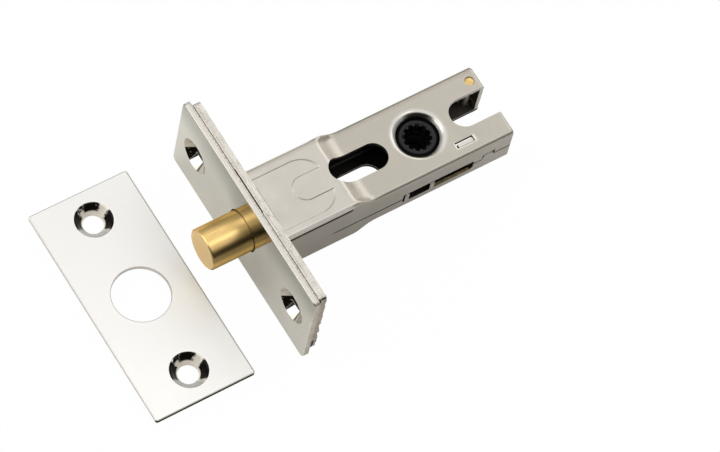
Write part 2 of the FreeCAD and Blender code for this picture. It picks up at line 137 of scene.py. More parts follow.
class LockCase(bpy.types.PropertyGroup):
    """The folded case."""

    sheet: mm("Sheet", "Thickness of the sheet metal", 1.0)
    fold: mm("Fold", "Outside radius of the long folds", 1.0)
    rear_edge: mm("Rear edge", "Rounding of the closed rear end", 0.6)
    front_half: mm("Front half", "Half thickness of the front section", NEAR_HIGH.z / MM)
    rear_half: mm("Rear half", "Half thickness of the rear section", 5.6)
    ramp_front: mm("Ramp front", "Where the ramp begins", -23.2)
    ramp_rear: mm("Ramp rear", "Where the ramp ends", -26.7)
    ramp_ease: mm("Ramp ease", "How softly the ramp bends at its top", 0.3)
    foot_ease: mm("Foot ease", "How softly the ramp bends at its foot", 0.95)
    lip_run: mm("Lip run", "How far the ramp is drawn rearwards at the folds", 1.7)
    claw_half: mm("Claw half", "Half width of the claw-shaped recess", 7.1)
    claw_straight: mm("Claw straight", "Where the recess's straight sides end", -15.4)
    claw_tip: mm("Claw tip", "Rear tips of the recess", -20.7)
    claw_mouth: mm("Claw mouth", "Half width of the tongue between the tips", 3.05)
    claw_bottom: mm("Claw bottom", "Front end of the tongue", -12.2)
    claw_depth: mm("Claw depth", "Depth of the recess", 0.2)
    claw_step: mm("Claw step", "Width of the recess's sloping border", 0.24)
    claw_side: mm("Claw side", "How far the recess sits off the middle", 0.4)
    stake_line: mm("Stake line", "Cross groove behind the mounting plate", -5.3)
    stake_half: mm("Stake half", "Half length of that groove", 4.7)
    key_front: mm("Key front", "Front centre of the key slot", -25.3)
    key_rear: mm("Key rear", "Rear centre of the key slot", -33.5)
    key_radius: mm("Key radius", "Radius of the key slot's ends", 3.4)
    fork_bottom: mm("Fork bottom", "Front end of the fork's slot", -54.0)
    fork_radius: mm("Fork radius", "Half width of the fork's slot", 3.6)
    dish_radius: mm("Dish radius", "Outer radius of the dish round the hub", 6.4)
    dish_depth: mm("Dish depth", "Depth of the dish", 1.34)
    collar_radius: mm("Collar radius", "Radius of the bore that carries the hub", 5.06)
    collar_wall: mm("Collar wall", "Wall of the collar round that bore", 1.0)
    collar_lip: mm("Collar lip", "Straight end of the collar below the dish", 0.85)
    tab_x: mm("Tab place", "Middle of the lanced tab along the case", -53.75)
    tab_y: mm("Tab side", "Middle of the lanced tab across the case", 6.6)
    tab_length: mm("Tab length", "Length of the lanced tab", 4.5)
    tab_gap: mm("Tab gap", "Clearance round the tab in the near shell", 0.1)
    tab_slack: mm("Tab slack", "Wider clearance at the tab's front end and inner side", 0.45)
    tab_sunk: mm("Tab sunk", "How far the tab stays below the near face", 0.28)
    groove_drop: mm("Groove drop", "Fold groove's distance below the near face", 1.15)
    groove_size: mm("Groove size", "Depth of the fold groove", 0.5)
    groove_tall: mm("Groove height", "Height of the fold groove", 0.8)


class LockSeam(bpy.types.PropertyGroup):
    """Line where the two shells meet on the case's side walls."""

    height: mm("Height", "Height of the seam on the windowed side", -1.3)
    plain: mm("Plain height", "Height of the seam on the plain side", -1.7)
    opens: mm("Opens", "Where the gap between the shells begins", -17.0)
    gap: mm("Gap", "Width of the gap between the shells", 0.42)
    window_front: mm("Window front", "Front end of the side window", -36.4)
    window_rear: mm("Window rear", "Rear end of the side window", -55.1)
    window_top: mm("Window top", "Upper edge of the side window", 0.4)
    window_bottom: mm("Window bottom", "Lower edge of the side window", -2.9)
    window_corner: mm("Window corner", "Cut corner of the side window", 0.7)
    lug_front: mm("Front lug", "Front end of the front lug in the window", -36.95)
    lug_long: mm("Lug length", "Length of each lug in the window", 1.15)
    lug_rear: mm("Rear lug", "Front end of the rear lug in the window", -43.6)
    lug_drop: mm("Lug drop", "How far the rear lug stays below the front one", 0.5)
    jog_front: mm("Jog front", "Front end of the seam's jog", -57.2)
    jog_rear: mm("Jog rear", "Rear end of the seam's jog", -60.6)
    jog_top: mm("Jog top", "Upper edge of the slot in the seam's jog", 1.35)
    slack: mm("Slack", "Free space at the jog's ends", 0.3)


class LockBolt(bpy.types.PropertyGroup):
    """Round bolt."""

    chamfer: mm("Chamfer", "Bevel of the bolt's nose", 0.32)
    seat_front: mm("Seat front", "Front end of the flat that carries the tail bar", -4.9)
    seat_top: mm("Seat top", "Height of that flat", -1.0)


class LockHub(bpy.types.PropertyGroup):
    """Hub with the spindle's star-shaped socket."""

    radius: mm("Radius", "Radius of the hub's ends", 5.0)
    edge: mm("Edge", "Rounding of the hub's rims", 0.15)
    rim: mm("Rim", "How much narrower the hub is where it shows in the dish", 0.62)
    shoulder: mm("Shoulder", "Radius of the hub's shoulders", 5.6)
    shoulder_top: mm("Shoulder top", "Height of the shoulders' outer faces", 3.31)
    core: mm("Core", "Radius of the hub's core", 4.5)
    core_low: mm("Core low", "Lower end of the core", -2.5)
    core_high: mm("Core high", "Upper end of the core", 1.8)
    flat: mm("Flat", "Distance of the core's flats from the axis", 4.2)
    arm_low: mm("Arm low", "Lower face of the driving arm", -0.7)
    arm_high: mm("Arm high", "Upper face of the driving arm", 1.5)
    arm_tip: mm("Arm tip", "Radius of the arm's round tip", 0.8)
    socket_radius: mm("Socket radius", "Radius at the roots of the socket's teeth", 3.35)
    tooth_depth: mm("Tooth depth", "Height of the socket's teeth", 0.5)
    stop_radius: mm("Stop radius", "Radius of the hole in the stop for the far spindle", 1.2)
    stop_low: mm("Stop low", "Height of the stop's lower face", -3.9)
    stop_thick: mm("Stop thickness", "Thickness of the stop", 0.6)
    teeth: IntProperty(name="Teeth", description="Teeth round the socket", default=12, min=3)


class LockStrike(bpy.types.PropertyGroup):
    """Strike plate."""

    corner: mm("Corner", "Rounding of the plate's corners", 0.55)
    edge: mm("Edge", "Rounding of the plate's upper edge", 0.2)
    sheet: mm("Sheet", "Thickness of the plate", 1.0)
    sink_radius: mm("Sink radius", "Radius of the pressed countersink's cone at the plate's face", 4.2)
    sink_depth: mm("Sink depth", "Depth of the pressed countersink", 2.2)
    hole_radius: mm("Hole radius", "Radius of the hole for the bolt", DIMS["strike_bolt_hole"]["r_mm"])


class LockFinishes(bpy.types.PropertyGroup):
    """Colours of the metals and plastics."""

    face_nickel: colour("Faceplate nickel", "Polished nickel of the faceplate", (0.725, 0.698, 0.62))
    strike_nickel: colour("Strike nickel", "Bright nickel of the strike plate", (0.93, 0.92, 0.895))
    satin_nickel: colour("Satin nickel", "Nickel of the pressed case", (0.63, 0.597, 0.537))
    sheared_nickel: colour("Sheared nickel", "Plating on sheared edges", (0.76, 0.72, 0.655))
    brass: colour("Brass", "Bolt and rear rivet", (0.86, 0.6, 0.24))
    hub_black: colour("Hub black", "Plastic of the hub", (0.004, 0.004, 0.0045))
    # painted shade: this near-black stands in for the shade inside the case and on its works
    inner_steel: colour("Inner steel", "Unlit inside of the case and its works", (0.024, 0.021, 0.018))


class LockStage(bpy.types.PropertyGroup):
    """Camera, floor and lamps."""

    azimuth: angle("Azimuth", "Camera's direction round the object", 45.244)
    elevation: angle("Elevation", "Camera's height above the floor", 62.016)
    roll: angle("Roll", "Camera's turn about its own axis", 15.02)
    distance: mm("Distance", "Camera's distance from the point it aims at", 1115.55)
    aim: FloatVectorProperty(
        name="Aim", description="Point at the middle of the picture",
        default=(-23.8255 * MM, 11.3127 * MM, 0), size=3, unit="LENGTH",
    )
    lens: amount("Lens", "Focal length on a 36 mm sensor, in millimetres", 250.6)
    floor_size: mm("Floor size", "Side of the square floor", 6000.0)
    dome: amount("Dome", "Strength of the light from above", 0.8)
    horizon: amount("Horizon", "Strength of the light from the far side", 0.16)
    left: amount("Left light", "Power of the softbox on the left, in watts", 4.6)
    back: amount("Back light", "Power of the softbox at the back, in watts", 2.6)
    top: amount("Top light", "Power of the small softbox overhead, in watts", 0.6)
    fold: amount("Fold light", "Power of the softbox that draws the folds, in watts", 0.4)


GROUPS = {
    "lock_screws": LockScrewHoles,
    "lock_forend": LockForend,
    "lock_case": LockCase,
    "lock_seam": LockSeam,
    "lock_bolt": LockBolt,
    "lock_hub": LockHub,
    "lock_strike": LockStrike,
    "lock_finishes": LockFinishes,
    "lock_stage": LockStage,
}


# Shader building

def reckoned(operation, swapped=False):
    """Method that puts one Math node behind a wire."""
    def method(wire, other=0.0):
        first, second = (other, wire) if swapped else (wire, other)
        return wire.paint.node("ShaderNodeMath", {"operation": operation}, {0: first, 1: second})["Value"]
    return method


class Wire:
    """A shader socket that takes part in arithmetic."""

    def __init__(self, paint, socket):
        self.paint = paint
        self.socket = socket

    __add__ = __radd__ = reckoned("ADD")
    __sub__ = reckoned("SUBTRACT")
    __rsub__ = reckoned("SUBTRACT", swapped=True)
    __mul__ = __rmul__ = reckoned("MULTIPLY")
    __truediv__ = reckoned("DIVIDE")
    __rtruediv__ = reckoned("DIVIDE", swapped=True)
    __abs__ = reckoned("ABSOLUTE")
    at_least = reckoned("MAXIMUM")
    sine = reckoned("SINE")
    root = reckoned("SQRT")
    sign = reckoned("SIGN")


class Made:
    """A node whose outputs are read by name as wires."""

    def __init__(self, paint, node):
        self.paint = paint
        self.node = node

    def __getitem__(self, name):
        return Wire(self.paint, self.node.outputs[name])


class Paint:
    """Builds one material's or the world's nodes."""

    def __init__(self, tree, coordinates="Object"):
        self.tree = tree
        self.coordinates = coordinates
        tree.nodes.clear()

    @cached_property
    def place(self):
        return self.node("ShaderNodeTexCoord")[self.coordinates]

    @cached_property
    def parts(self):
        made = self.node("ShaderNodeSeparateXYZ", sockets={"Vector": self.place})
        return made["X"], made["Y"], made["Z"]

    def node(self, kind, settings=None, sockets=None):
        node = self.tree.nodes.new(kind)
        for name, value in (settings or {}).items():
            setattr(node, name, value)
        for name, value in (sockets or {}).items():
            if isinstance(value, Wire):
                self.tree.links.new(value.socket, node.inputs[name])
            else:
                node.inputs[name].default_value = value
        return Made(self, node)

    def noise(self, scale, detail=2.0, roughness=0.5, stretch=None):
        """Noise over the place, stretched along the axes where factors are given."""
        place = self.place
        if stretch:
            stretched = self.node("ShaderNodeVectorMath", {"operation": "MULTIPLY"}, {0: place, 1: stretch})
            place = stretched["Vector"]
        values = {"Vector": place, "Scale": scale, "Detail": detail, "Roughness": roughness}
        return self.node("ShaderNodeTexNoise", sockets=values)["Fac"]

    def spread(self, value, low, high, to_low=0.0, to_high=1.0):
        """Straight run from one value to another, level outside it."""
        values = {"Value": value, "From Min": low, "From Max": high, "To Min": to_low, "To Max": to_high}
        return self.node("ShaderNodeMapRange", {"clamp": True}, values)["Result"]

    def soft(self, value, low, high):
        """Smooth run from 0 at the low end to 1 at the high end, which may lie below it."""
        values = {"Value": value, "From Min": low, "From Max": high}
        settings = {"clamp": True, "interpolation_type": "SMOOTHSTEP"}
        return self.node("ShaderNodeMapRange", settings, values)["Result"]

    def border(self, value, edge, start, end):
        """Smooth run from 0 to 1 between two distances from an edge, in millimetres."""
        return self.soft(value, edge + start * MM, edge + end * MM)

    def mixed(self, factor, first, second):
        sockets = {"Factor": factor}
        for index, value in ((6, first), (7, second)):
            sockets[index] = value if isinstance(value, Wire) else (*value[:3], 1.0)
        return self.node("ShaderNodeMix", {"data_type": "RGBA"}, sockets)[2]

    def tinted(self, factor, tint, low, high):
        """Runs from one shade of a tint to another."""
        return self.mixed(factor, shade(tint, low), shade(tint, high))

    def bump(self, height, strength, depth):
        """Bump of a depth in millimetres."""
        values = {"Height": height, "Strength": strength, "Distance": depth * MM}
        return self.node("ShaderNodeBump", sockets=values)["Normal"]

    def surface(self, tone, metal, rough, **others):
        """Closes a material with its main shader, whose other sockets go by their names."""
        values = {"Base Color": tone, "Metallic": metal, "Roughness": rough}
        values.update({name.replace("_", " "): value for name, value in others.items()})
        self.finish(self.node("ShaderNodeBsdfPrincipled", sockets=values)["BSDF"])

    def finish(self, shader, kind="ShaderNodeOutputMaterial"):
        self.node(kind, sockets={"Surface": shader})


def new_paint(name):
    material = bpy.data.materials.new(name)
    material.use_nodes = True
    return Paint(material.node_tree)


def finish_of(name):
    return bpy.data.materials[name]


def shade(tint, factor):
    return tuple(min(1.0, channel * factor) for channel in tint)


def apart(across, down):
    """Distance over two axes."""
    return (across * across + down * down).root()


# Directions in x and y that point left and up for someone who looks at the near face
LEFT = (0.883, -0.468)
UP = (-0.52, -0.85)


def towards(side, across, down, away):
    """How far a place round a centre lies on one side of it, from -1 to 1."""
    return (across * side[0] + down * side[1]) / away


def polished_nickel(name, tint, roughness, along):
    """Plated and polished: faint polishing lines, a few clouds in the plating, a dull upper part."""
    paint = new_paint(name)
    x, y, z = paint.parts
    lines = paint.noise(9000, 3, 0.6, along)
    tone = paint.tinted(paint.spread(paint.noise(90, 3, 0.55), 0.35, 0.7), tint, 0.97, 1.03)
    painted_shade = shade(tint, 0.42)
    # painted reflection: the upper part darker
    tone = paint.mixed(paint.soft(z, 3 * MM, FACE_HIGH.z) * 0.65, tone, painted_shade)
    # painted reflection: a dark patch where the bolt would show in the plate, just above it
    film_and_reflection = paint.border(apart(y, z - 7 * MM), 0, 9, 3)
    tone = paint.mixed(film_and_reflection * 0.45, tone, painted_shade)
    rough = roughness + 0.03 * paint.noise(420) + 0.03 * lines
    paint.surface(tone, 1.0, rough, Normal=paint.bump(lines, 0.012, 0.02))


def sheared_nickel(name, tint, coarse, across, metal=0.85):
    """Sheared edge: fine lines across the sheet, small torn spots, stains where the forend's plates meet."""
    paint = new_paint(name)
    x, y, z = paint.parts
    lines = paint.noise(6500, 3, 0.7, across)
    torn = paint.noise(5200, 3, 0.7, (1.0, 0.6, 1.0))
    patches = paint.noise(380, 3, 0.6)
    dots = paint.noise(3300, stretch=(0.3, 1.0, 0.3))
    spots = paint.spread(torn + 0.35 * patches, 0.66, 0.78) * coarse
    tone = paint.tinted(paint.spread(lines, 0.35, 0.68), tint, 0.8, 1.08)
    tone = paint.mixed(spots * 0.5, tone, shade(tint, 0.45))
    back = FACE_LOW.x
    # painted shade: dark dots along the gap where the faceplate meets the mounting plate
    gap_shade = paint.border(x, back, 0.6, 0.3) * paint.soft(x, MOUNT_HIGH.x - 0.2 * MM, back)
    tone = paint.mixed(gap_shade * paint.spread(dots, 0.38, 0.66) * 0.6, tone, (0.2, 0.16, 0.12))
    at_end = paint.border(y, MOUNT_HIGH.y, -0.6, -0.3) * coarse * paint.border(x, back, 0.1, 0)
    tone = paint.mixed(at_end * 0.6, tone, (0.33, 0.27, 0.19))
    warm = paint.border(y, FACE_HIGH.y, -0.4, -0.1) * paint.spread(patches, 0.35, 0.6, 0.3, 0.6)
    tone = paint.mixed(warm, tone, (0.42, 0.36, 0.265))
    # painted shadow: a near-black mark at the lower end that stands in for a slot
    slot = at_end * paint.border(z, 0, -7.8, -8.4)
    slot = slot * paint.border(x, back, -1.6, -1.4) * paint.border(x, back, -0.05, -0.2)
    tone = paint.mixed(slot, tone, (0.012, 0.009, 0.007))
    paint.surface(tone, metal, 0.38 + 0.2 * spots, Normal=paint.bump(lines + torn * coarse, 0.25, 0.05))


def strike_nickel(name, tint, hole):
    """Bright plating that wears to a brown line along the edges and round the hole."""
    paint = new_paint(name)
    x, y, z = paint.parts
    half = (STRIKE_HIGH - STRIKE_LOW) / 2
    across, along = x - STRIKE_MIDDLE.x, y - STRIKE_MIDDLE.y
    # painted light: lighter towards the +y end, against the shade the lock casts there
    tone = paint.tinted(paint.spread(along, -half.y, half.y), tint, 0.905, 1.075)
    clouds = paint.spread(paint.noise(90, 3, 0.55), 0.35, 0.7, 0.0, 0.3)
    tone = paint.mixed(clouds, tone, shade(tint, 0.97))
    rear_side = paint.border(across, -half.x, 0.42, 0.15)
    front_side = paint.border(across, half.x, -0.4, -0.15) * 0.2
    ends = paint.border(abs(along), half.y, -0.36, -0.12) * 0.8
    ring = paint.border(apart(across, along), hole, 0.2, 0.04)
    darkened = rear_side.at_least(front_side).at_least(ends).at_least(ring)
    tone = paint.mixed(darkened * 0.75, tone, (0.2, 0.155, 0.105))
    paint.surface(tone, 0.6, 0.5 + 0.03 * paint.noise(420))


def dimple_nickel(name, half_span, hole):
    """Pressed countersinks: black chrome at the top and both sides, pale between."""
    paint = new_paint(name)
    x, y, z = paint.parts
    across, along = x - STRIKE_MIDDLE.x, y - STRIKE_MIDDLE.y
    down = along - half_span * along.sign()
    away = apart(across, down)
    wobble = 0.25 * (paint.noise(1300, 3, 0.6) - 0.5)
    leftwards = towards(LEFT, across, down, away) + wobble
    upwards = towards(UP, across, down, away) + wobble
    patches = []
    # painted dark reflections at the top and both sides of each dimple
    for turn, limit, start in ((-0.05, 0.84, 0.1), (0.8, 0.9, 1.0), (1.35, 0.86, 0.45), (3.1, 0.83, 0.1)):
        dark_reflection = paint.soft(leftwards * cos(turn) + upwards * sin(turn), limit - 0.05, limit + 0.05)
        patches.append(dark_reflection * paint.border(away, hole, start, start + 0.3))
    # painted reflection: greyer towards the bottom of each dimple
    low = paint.soft(upwards, -0.3, -0.75)
    tone = paint.mixed(low, (0.97, 0.91, 0.8), (0.5, 0.49, 0.46))
    tone = paint.mixed(reduce(Wire.at_least, patches), tone, (0.008, 0.006, 0.005))
    paint.surface(tone, 0.12 + 0.35 * low, 0.16 + 0.1 * low, Specular_IOR_Level=0.1)


def sink_nickel(name, tint, half_span):
    """Drilled countersinks: bright below, dark with pale slivers above and in the depth."""
    paint = new_paint(name)
    x, y, z = paint.parts
    slivers = paint.noise(1500, 2, 0.6, (0.35, 0.35, 1.0))
    # painted shade in the depth of the hole
    deep = paint.border(x, 0, -1.7, -2.1)
    side = y - half_span * y.sign()
    # painted reflection: dark on the upper side with pale slivers in it, bright below
    dark = paint.border(side, 0, -1.4, -1.7).at_least(deep)
    level = side - 0.575 * z
    upper = paint.border(level + 0.53 * x, 0, -2.65, -2.9) * paint.spread(slivers, 0.3, 0.45, 0.5, 1.0)
    pale = upper.at_least(paint.spread(slivers, 0.58, 0.66) * 0.6) * (1.0 - deep)
    tone = paint.mixed(pale, (0.008, 0.006, 0.004), (0.85, 0.79, 0.68))
    bright = paint.mixed(paint.border(level, 0, 2.6, 3.1), tint, (0.56, 0.52, 0.44))
    tone = paint.mixed(dark, bright, tone)
    paint.surface(tone, 1.0 - dark, 0.06 + 0.05 * slivers, Specular_IOR_Level=0.0)


def strike_edge(name, tint):
    """Sheared edge of the strike plate, blackened at one end."""
    paint = new_paint(name)
    x, y, z = paint.parts
    lines = paint.noise(6500, 3, 0.7, (1.0, 1.0, 0.15))
    tone = paint.tinted(paint.spread(lines, 0.35, 0.68), tint, 0.85, 1.0)
    # painted shade: the edge at the +y end black
    end_shade = paint.border(y, STRIKE_HIGH.y, -0.7, -0.4)
    tone = paint.mixed(end_shade, tone, (0.008, 0.006, 0.004))
    normal = paint.bump(lines, 0.25, 0.05)
    paint.surface(tone, 0.9 - 0.9 * end_shade, 0.35 + 0.4 * end_shade, Normal=normal, Specular_IOR_Level=0.0)


def lit_rim(name, case):
    """Cut edge of the far shell: black, with a pale burr where it meets the case's inside."""
    paint = new_paint(name)
    x, y, z = paint.parts
    # painted highlight: a pale line where the cut edge meets the case's inside
    burr = paint.border(z, case.sheet - case.rear_half, -0.36, -0.2)
    tone = paint.mixed(burr, (0.006, 0.005, 0.004), (0.62, 0.55, 0.43))
    paint.surface(tone, 0.0, 0.5 + 0.2 * paint.noise(3000, 3, 0.6), Specular_IOR_Level=0.1)


def satin_nickel(name, tint, case):
    """Barrel-plated sheet, stretched on the ramp, worn on the walls and bright round the hub and the tab."""
    paint = new_paint(name)
    x, y, z = paint.parts
    front, rear_half = case.ramp_front, case.rear_half
    # plating, with the ramp stretched and the rear section darker
    grain = paint.noise(5200, 2, 0.6)
    clouds = paint.noise(130, 3, 0.5)
    peel = paint.noise(1900, 3, 0.6)
    middle, reach = (front + case.ramp_rear) / 2, (front - case.ramp_rear) / 2
    on_ramp = 1.0 - paint.soft(abs(x - middle), reach * 0.8, reach * 1.1)
    stretch = on_ramp * paint.soft(abs(z), rear_half * 0.9, rear_half)
    tone = paint.tinted(paint.spread(clouds, 0.3, 0.7), tint, 0.93, 1.06)
    darkened = tuple(channel * part for channel, part in zip(tint, (0.76, 0.75, 0.73)))
    rear = 1.0 - paint.soft(x, case.ramp_rear - 2 * MM, front)
    tone = paint.mixed(rear * paint.spread(clouds, 0.15, 0.5, 0.75, 1.0), tone, darkened)
    tone = paint.mixed(paint.border(x, 0, -7, -12) * (1.0 - rear) * 0.5, tone, shade(tint, 0.86))
    tone = paint.mixed(stretch * 0.5, tone, (0.6, 0.545, 0.455))
    tone = paint.mixed(stretch * paint.spread(peel, 0.42, 0.6) * 0.5, tone, (0.78, 0.7, 0.585))
    # side walls: painted shade on the walls, a painted shadow below the groove and painted shade along the far
    # fold
    on_wall = paint.border(abs(y), CASE_HALF, -0.12, -0.02)
    # painted shade: the walls darker, most towards the front
    painted_shade = paint.spread(x, -40 * MM, -22 * MM, 0.22, 0.6)
    tone = paint.mixed(on_wall * painted_shade, tone, (0.25, 0.223, 0.172))
    groove_top = case.front_half - case.groove_drop
    groove_foot = groove_top - case.groove_tall
    # painted shadow below the fold groove
    groove_shadow = paint.border(z, groove_foot, -0.9, 0) * paint.border(x, front, 0, 3)
    tone = paint.mixed(on_wall * groove_shadow * 0.6, tone, (0.1, 0.085, 0.065))
    # painted shade along the far fold
    far_fold_shade = paint.border(y, -CASE_HALF, 1.9, 0.2)
    tone = paint.mixed(far_fold_shade * (1.0 - on_ramp) * 0.6, tone, (0.25, 0.215, 0.165))
    # dish round the hub: a painted shadow in its upper part and a painted highlight round the rest
    from_hub = x - HUB_X
    away = apart(from_hub, y)
    in_dish = paint.border(away, case.dish_radius, 0.5, -0.3)
    upwards = towards(UP, from_hub, y, away)
    # painted shadow on the dish's upper inner wall
    dish_shadow = in_dish * paint.soft(upwards, 0.7, 0.97) * paint.border(away, case.dish_radius, -0.45, -0.8)
    # painted highlight on the dish's lower part and sides
    dish_highlight = in_dish * 0.62 * paint.soft(upwards, -0.95, -0.3)
    dish_highlight = dish_highlight * (1.0 - dish_shadow) * paint.border(z, 0, 0, 1)
    tone = paint.mixed(dish_highlight, tone, (0.93, 0.915, 0.87))
    tone = paint.mixed(dish_shadow * 0.9, tone, (0.05, 0.042, 0.033))
    # painted highlight on the fold above the groove
    fold_highlight = paint.border(abs(y), CASE_HALF, -0.65, -0.3) * paint.border(x, front, 0, 2)
    fold_highlight = fold_highlight * paint.border(z, groove_top, -0.15, 0)
    tone = paint.mixed(fold_highlight * 0.9, tone, (0.84, 0.8, 0.72))
    # painted highlight on the lanced tab and the lip round it, and a painted shade line along the tab's edge
    tab_edge = case.sheet / 2
    from_tab = (abs(x - case.tab_x) - case.tab_length / 2).at_least(abs(y - case.tab_y) - tab_edge)
    on_rear = paint.border(z, rear_half, -0.5, -0.3)
    lip = paint.border(from_tab, 0, 0.6, 0.25) * on_rear
    tone = paint.mixed(lip * 0.45, tone, (0.95, 0.93, 0.87))
    tab_line_shade = paint.border(y, case.tab_y + tab_edge, -0.2, -0.08) * paint.border(from_tab, 0, 0.05, 0)
    tone = paint.mixed(tab_line_shade * on_rear * 0.8, tone, (0.12, 0.09, 0.06))
    specks = paint.spread(paint.noise(3400, 2, 0.7), 0.3, 0.7, 0.0, 0.16)
    tone = paint.mixed(specks, tone, (0.35, 0.325, 0.29))
    rough = 0.3 + 0.1 * grain + 0.1 * stretch - 0.14 * in_dish
    # less metallic where the highlights are painted
    metal = 0.92 - 0.8 * fold_highlight.at_least(dish_highlight * 0.85).at_least(lip * 0.35)
    height = grain + stretch * peel * 1.2 + 16.0 * paint.noise(260, 1, 0.4)
    paint.surface(tone, metal, rough, Normal=paint.bump(height, 0.22, 0.02))


def brushed_brass(name, tint):
    """Brass brushed along its length, oily on one side, with a turned end face."""
    paint = new_paint(name)
    x, y, z = paint.parts
    rings_per_metre = 42000.0
    lines = paint.noise(9000, 3, 0.65, (0.035, 1.0, 1.0))
    rings = (apart(y, z) * rings_per_metre).sine() * 0.5 + 0.5
    on_end = paint.border(x, BOLT_HIGH.x, -0.1, 0)
    grain = paint.noise(5200, 3, 0.7)
    tone = paint.tinted(paint.spread(lines, 0.35, 0.65), tint, 0.85, 1.12)
    clouds = paint.spread(paint.noise(260, 3, 0.5), 0.45, 0.75)
    tone = paint.mixed(clouds * 0.3, tone, shade(tint, 0.78))
    tone = paint.mixed(on_end, tone, paint.mixed(grain, (0.74, 0.57, 0.33), (0.98, 0.78, 0.5)))
    # painted shade on the lower half
    below = paint.border(z, 0, 1.5, -1.5) * (1.0 - on_end)
    tone = paint.mixed(below * 0.5, tone, shade(tint, 0.42))
    half = BOLT_HIGH.z
    # painted dark reflection band along one side
    dark_reflection_band = paint.soft(y, 0.5 * half, 0.74 * half) * paint.soft(z, 0.12 * half, 0.42 * half) * (1.0 - on_end)
    tone = paint.mixed(dark_reflection_band * 0.75, tone, shade(tint, 0.2))
    normal = paint.bump(lines * (1.0 - on_end) + on_end * (0.5 * rings + grain), 0.3, 0.02)
    rough = 0.25 + 0.09 * lines + 0.2 * on_end
    paint.surface(tone, 1.0, rough, Normal=normal, Specular_Tint=(0.8, 0.62, 0.36, 1.0))


def rivet_brass(name, tint):
    """Hammered end of the rear rivet."""
    paint = new_paint(name)
    dents = paint.noise(1500, 2, 0.6)
    grain = paint.noise(6000, 2, 0.6)
    tone = paint.tinted(paint.spread(dents, 0.35, 0.65), tint, 0.85, 1.15)
    paint.surface(tone, 1.0, 0.33 + 0.1 * grain, Normal=paint.bump(dents + 0.3 * grain, 0.5, 0.06))


def moulded_black(name, tint, inner, outer):
    """Moulded plastic, rubbed grey on the flat round the socket."""
    paint = new_paint(name)
    x, y, z = paint.parts
    bloom = paint.noise(900, 3, 0.6)
    away = apart(x - HUB_X, y)
    flat = paint.border(abs(z), HUB_TOP, -0.3, -0.17)
    flat = flat * paint.border(away, inner, -1, -0.7) * paint.border(away, outer, -0.1, -0.4)
    # painted sheen: the flat round the socket lighter grey
    tone = paint.mixed(flat * paint.spread(bloom, 0.3, 0.7, 0.75, 1.0), tint, (0.028, 0.0285, 0.031))
    normal = paint.bump(paint.noise(3800, 3, 0.6), 0.18, 0.02)
    paint.surface(tone, 0.0, 0.36 + 0.2 * bloom, Specular_IOR_Level=0.12, Normal=normal)


def shaded_steel(name, tint, roughness):
    """Dark oiled metal inside the case, barer towards its rear end."""
    paint = new_paint(name)
    x, y, z = paint.parts
    film_and_reflection = paint.noise(300, 3, 0.6)
    tone = paint.tinted(paint.spread(film_and_reflection, 0.35, 0.7), tint, 0.7, 1.3)
    # painted light near the fork slot at the rear
    fork_light = paint.border(x, 0, -53, -57) * paint.spread(film_and_reflection, 0.3, 0.6, 0.4, 1.0)
    tone = paint.mixed(fork_light, tone, shade(tint, 5.0))
    normal = paint.bump(paint.noise(3000, 3, 0.6), 0.25, 0.02)
    paint.surface(tone, 0.7, roughness + 0.15 * film_and_reflection, Normal=normal)


# Mesh building

def added(name, data):
    """A new object in the scene."""
    thing = bpy.data.objects.new(name, data)
    bpy.context.scene.collection.objects.link(thing)
    return thing


def settled(thing):
    """Turns an object's modifiers into plain mesh."""
    depsgraph = bpy.context.evaluated_depsgraph_get()
    mesh = bpy.data.meshes.new_from_object(thing.evaluated_get(depsgraph))
    thing.modifiers.clear()
    thing.data = mesh


def loft(name, rings, material):
    """Closed solid through closed rings of one length, with a flat cap at each end."""
    count = len(rings[0])
    last = (len(rings) - 1) * count
    faces = []
    for start in range(0, last, count):
        for here in range(count):
            after = (here + 1) % count
            faces.append((start + here, start + after, start + count + after, start + count + here))
    faces += [tuple(range(count)), tuple(range(last, last + count))]
    mesh = bpy.data.meshes.new(name)
    mesh.from_pydata(np.concatenate(rings).tolist(), [], faces)
    mesh.materials.append(material)
    work = bmesh.new()
    work.from_mesh(mesh)
    bmesh.ops.recalc_face_normals(work, faces=work.faces)
    work.to_mesh(mesh)
    work.free()
    return added(name, mesh)


def laid(points, across, up, height):
    """Points of a flat ring as rows of x, y, z: across and up name the ring's axes."""
    ring = np.zeros((len(points), 3))
    ring[:, across] = points[:, 0]
    ring[:, up] = points[:, 1]
    ring[:, 3 - across - up] = height
    return ring


def rounded_outline(half_a, half_b, corner, spacing=None):
    """Rounded rectangle, with points along its straight sides where a spacing is given."""
    steps = 8
    points = []
    for index, (sign_a, sign_b) in enumerate(((1, 1), (-1, 1), (-1, -1), (1, -1))):
        centre_a, centre_b = sign_a * (half_a - corner), sign_b * (half_b - corner)
        for step in range(steps + 1):
            turn = (index + step / steps) * pi / 2
            points.append((centre_a + corner * cos(turn), centre_b + corner * sin(turn)))
    if spacing is None:
        return np.array(points)
    dense = []
    for start, end in zip(points, points[1:] + points[:1]):
        run = Vector(end) - Vector(start)
        pieces = max(1, int(run.length / spacing))
        dense += [tuple(Vector(start) + run * (k / pieces)) for k in range(pieces)]
    return np.array(dense)


def slab(name, centre, half, sizes, across, up, material):
    """Plate with rounded corners and a rounded edge on its front face."""
    axis = 3 - across - up
    corner, edge = sizes.corner, sizes.edge
    high = centre[axis] + half[axis]
    levels = [(centre[axis] - half[axis], 0.0)]
    for turn in np.linspace(0, pi / 2, 7):
        levels.append((high - edge + edge * sin(turn), edge * (1 - cos(turn))))
    rings = []
    for height, inset in levels:
        outline = rounded_outline(half[across] - inset, half[up] - inset, corner - inset * 0.8)
        rings.append(laid(outline + (centre[across], centre[up]), across, up, height))
    return loft(name, rings, material)


def flat_axes(axis):
    return [index for index in range(3) if index != axis]


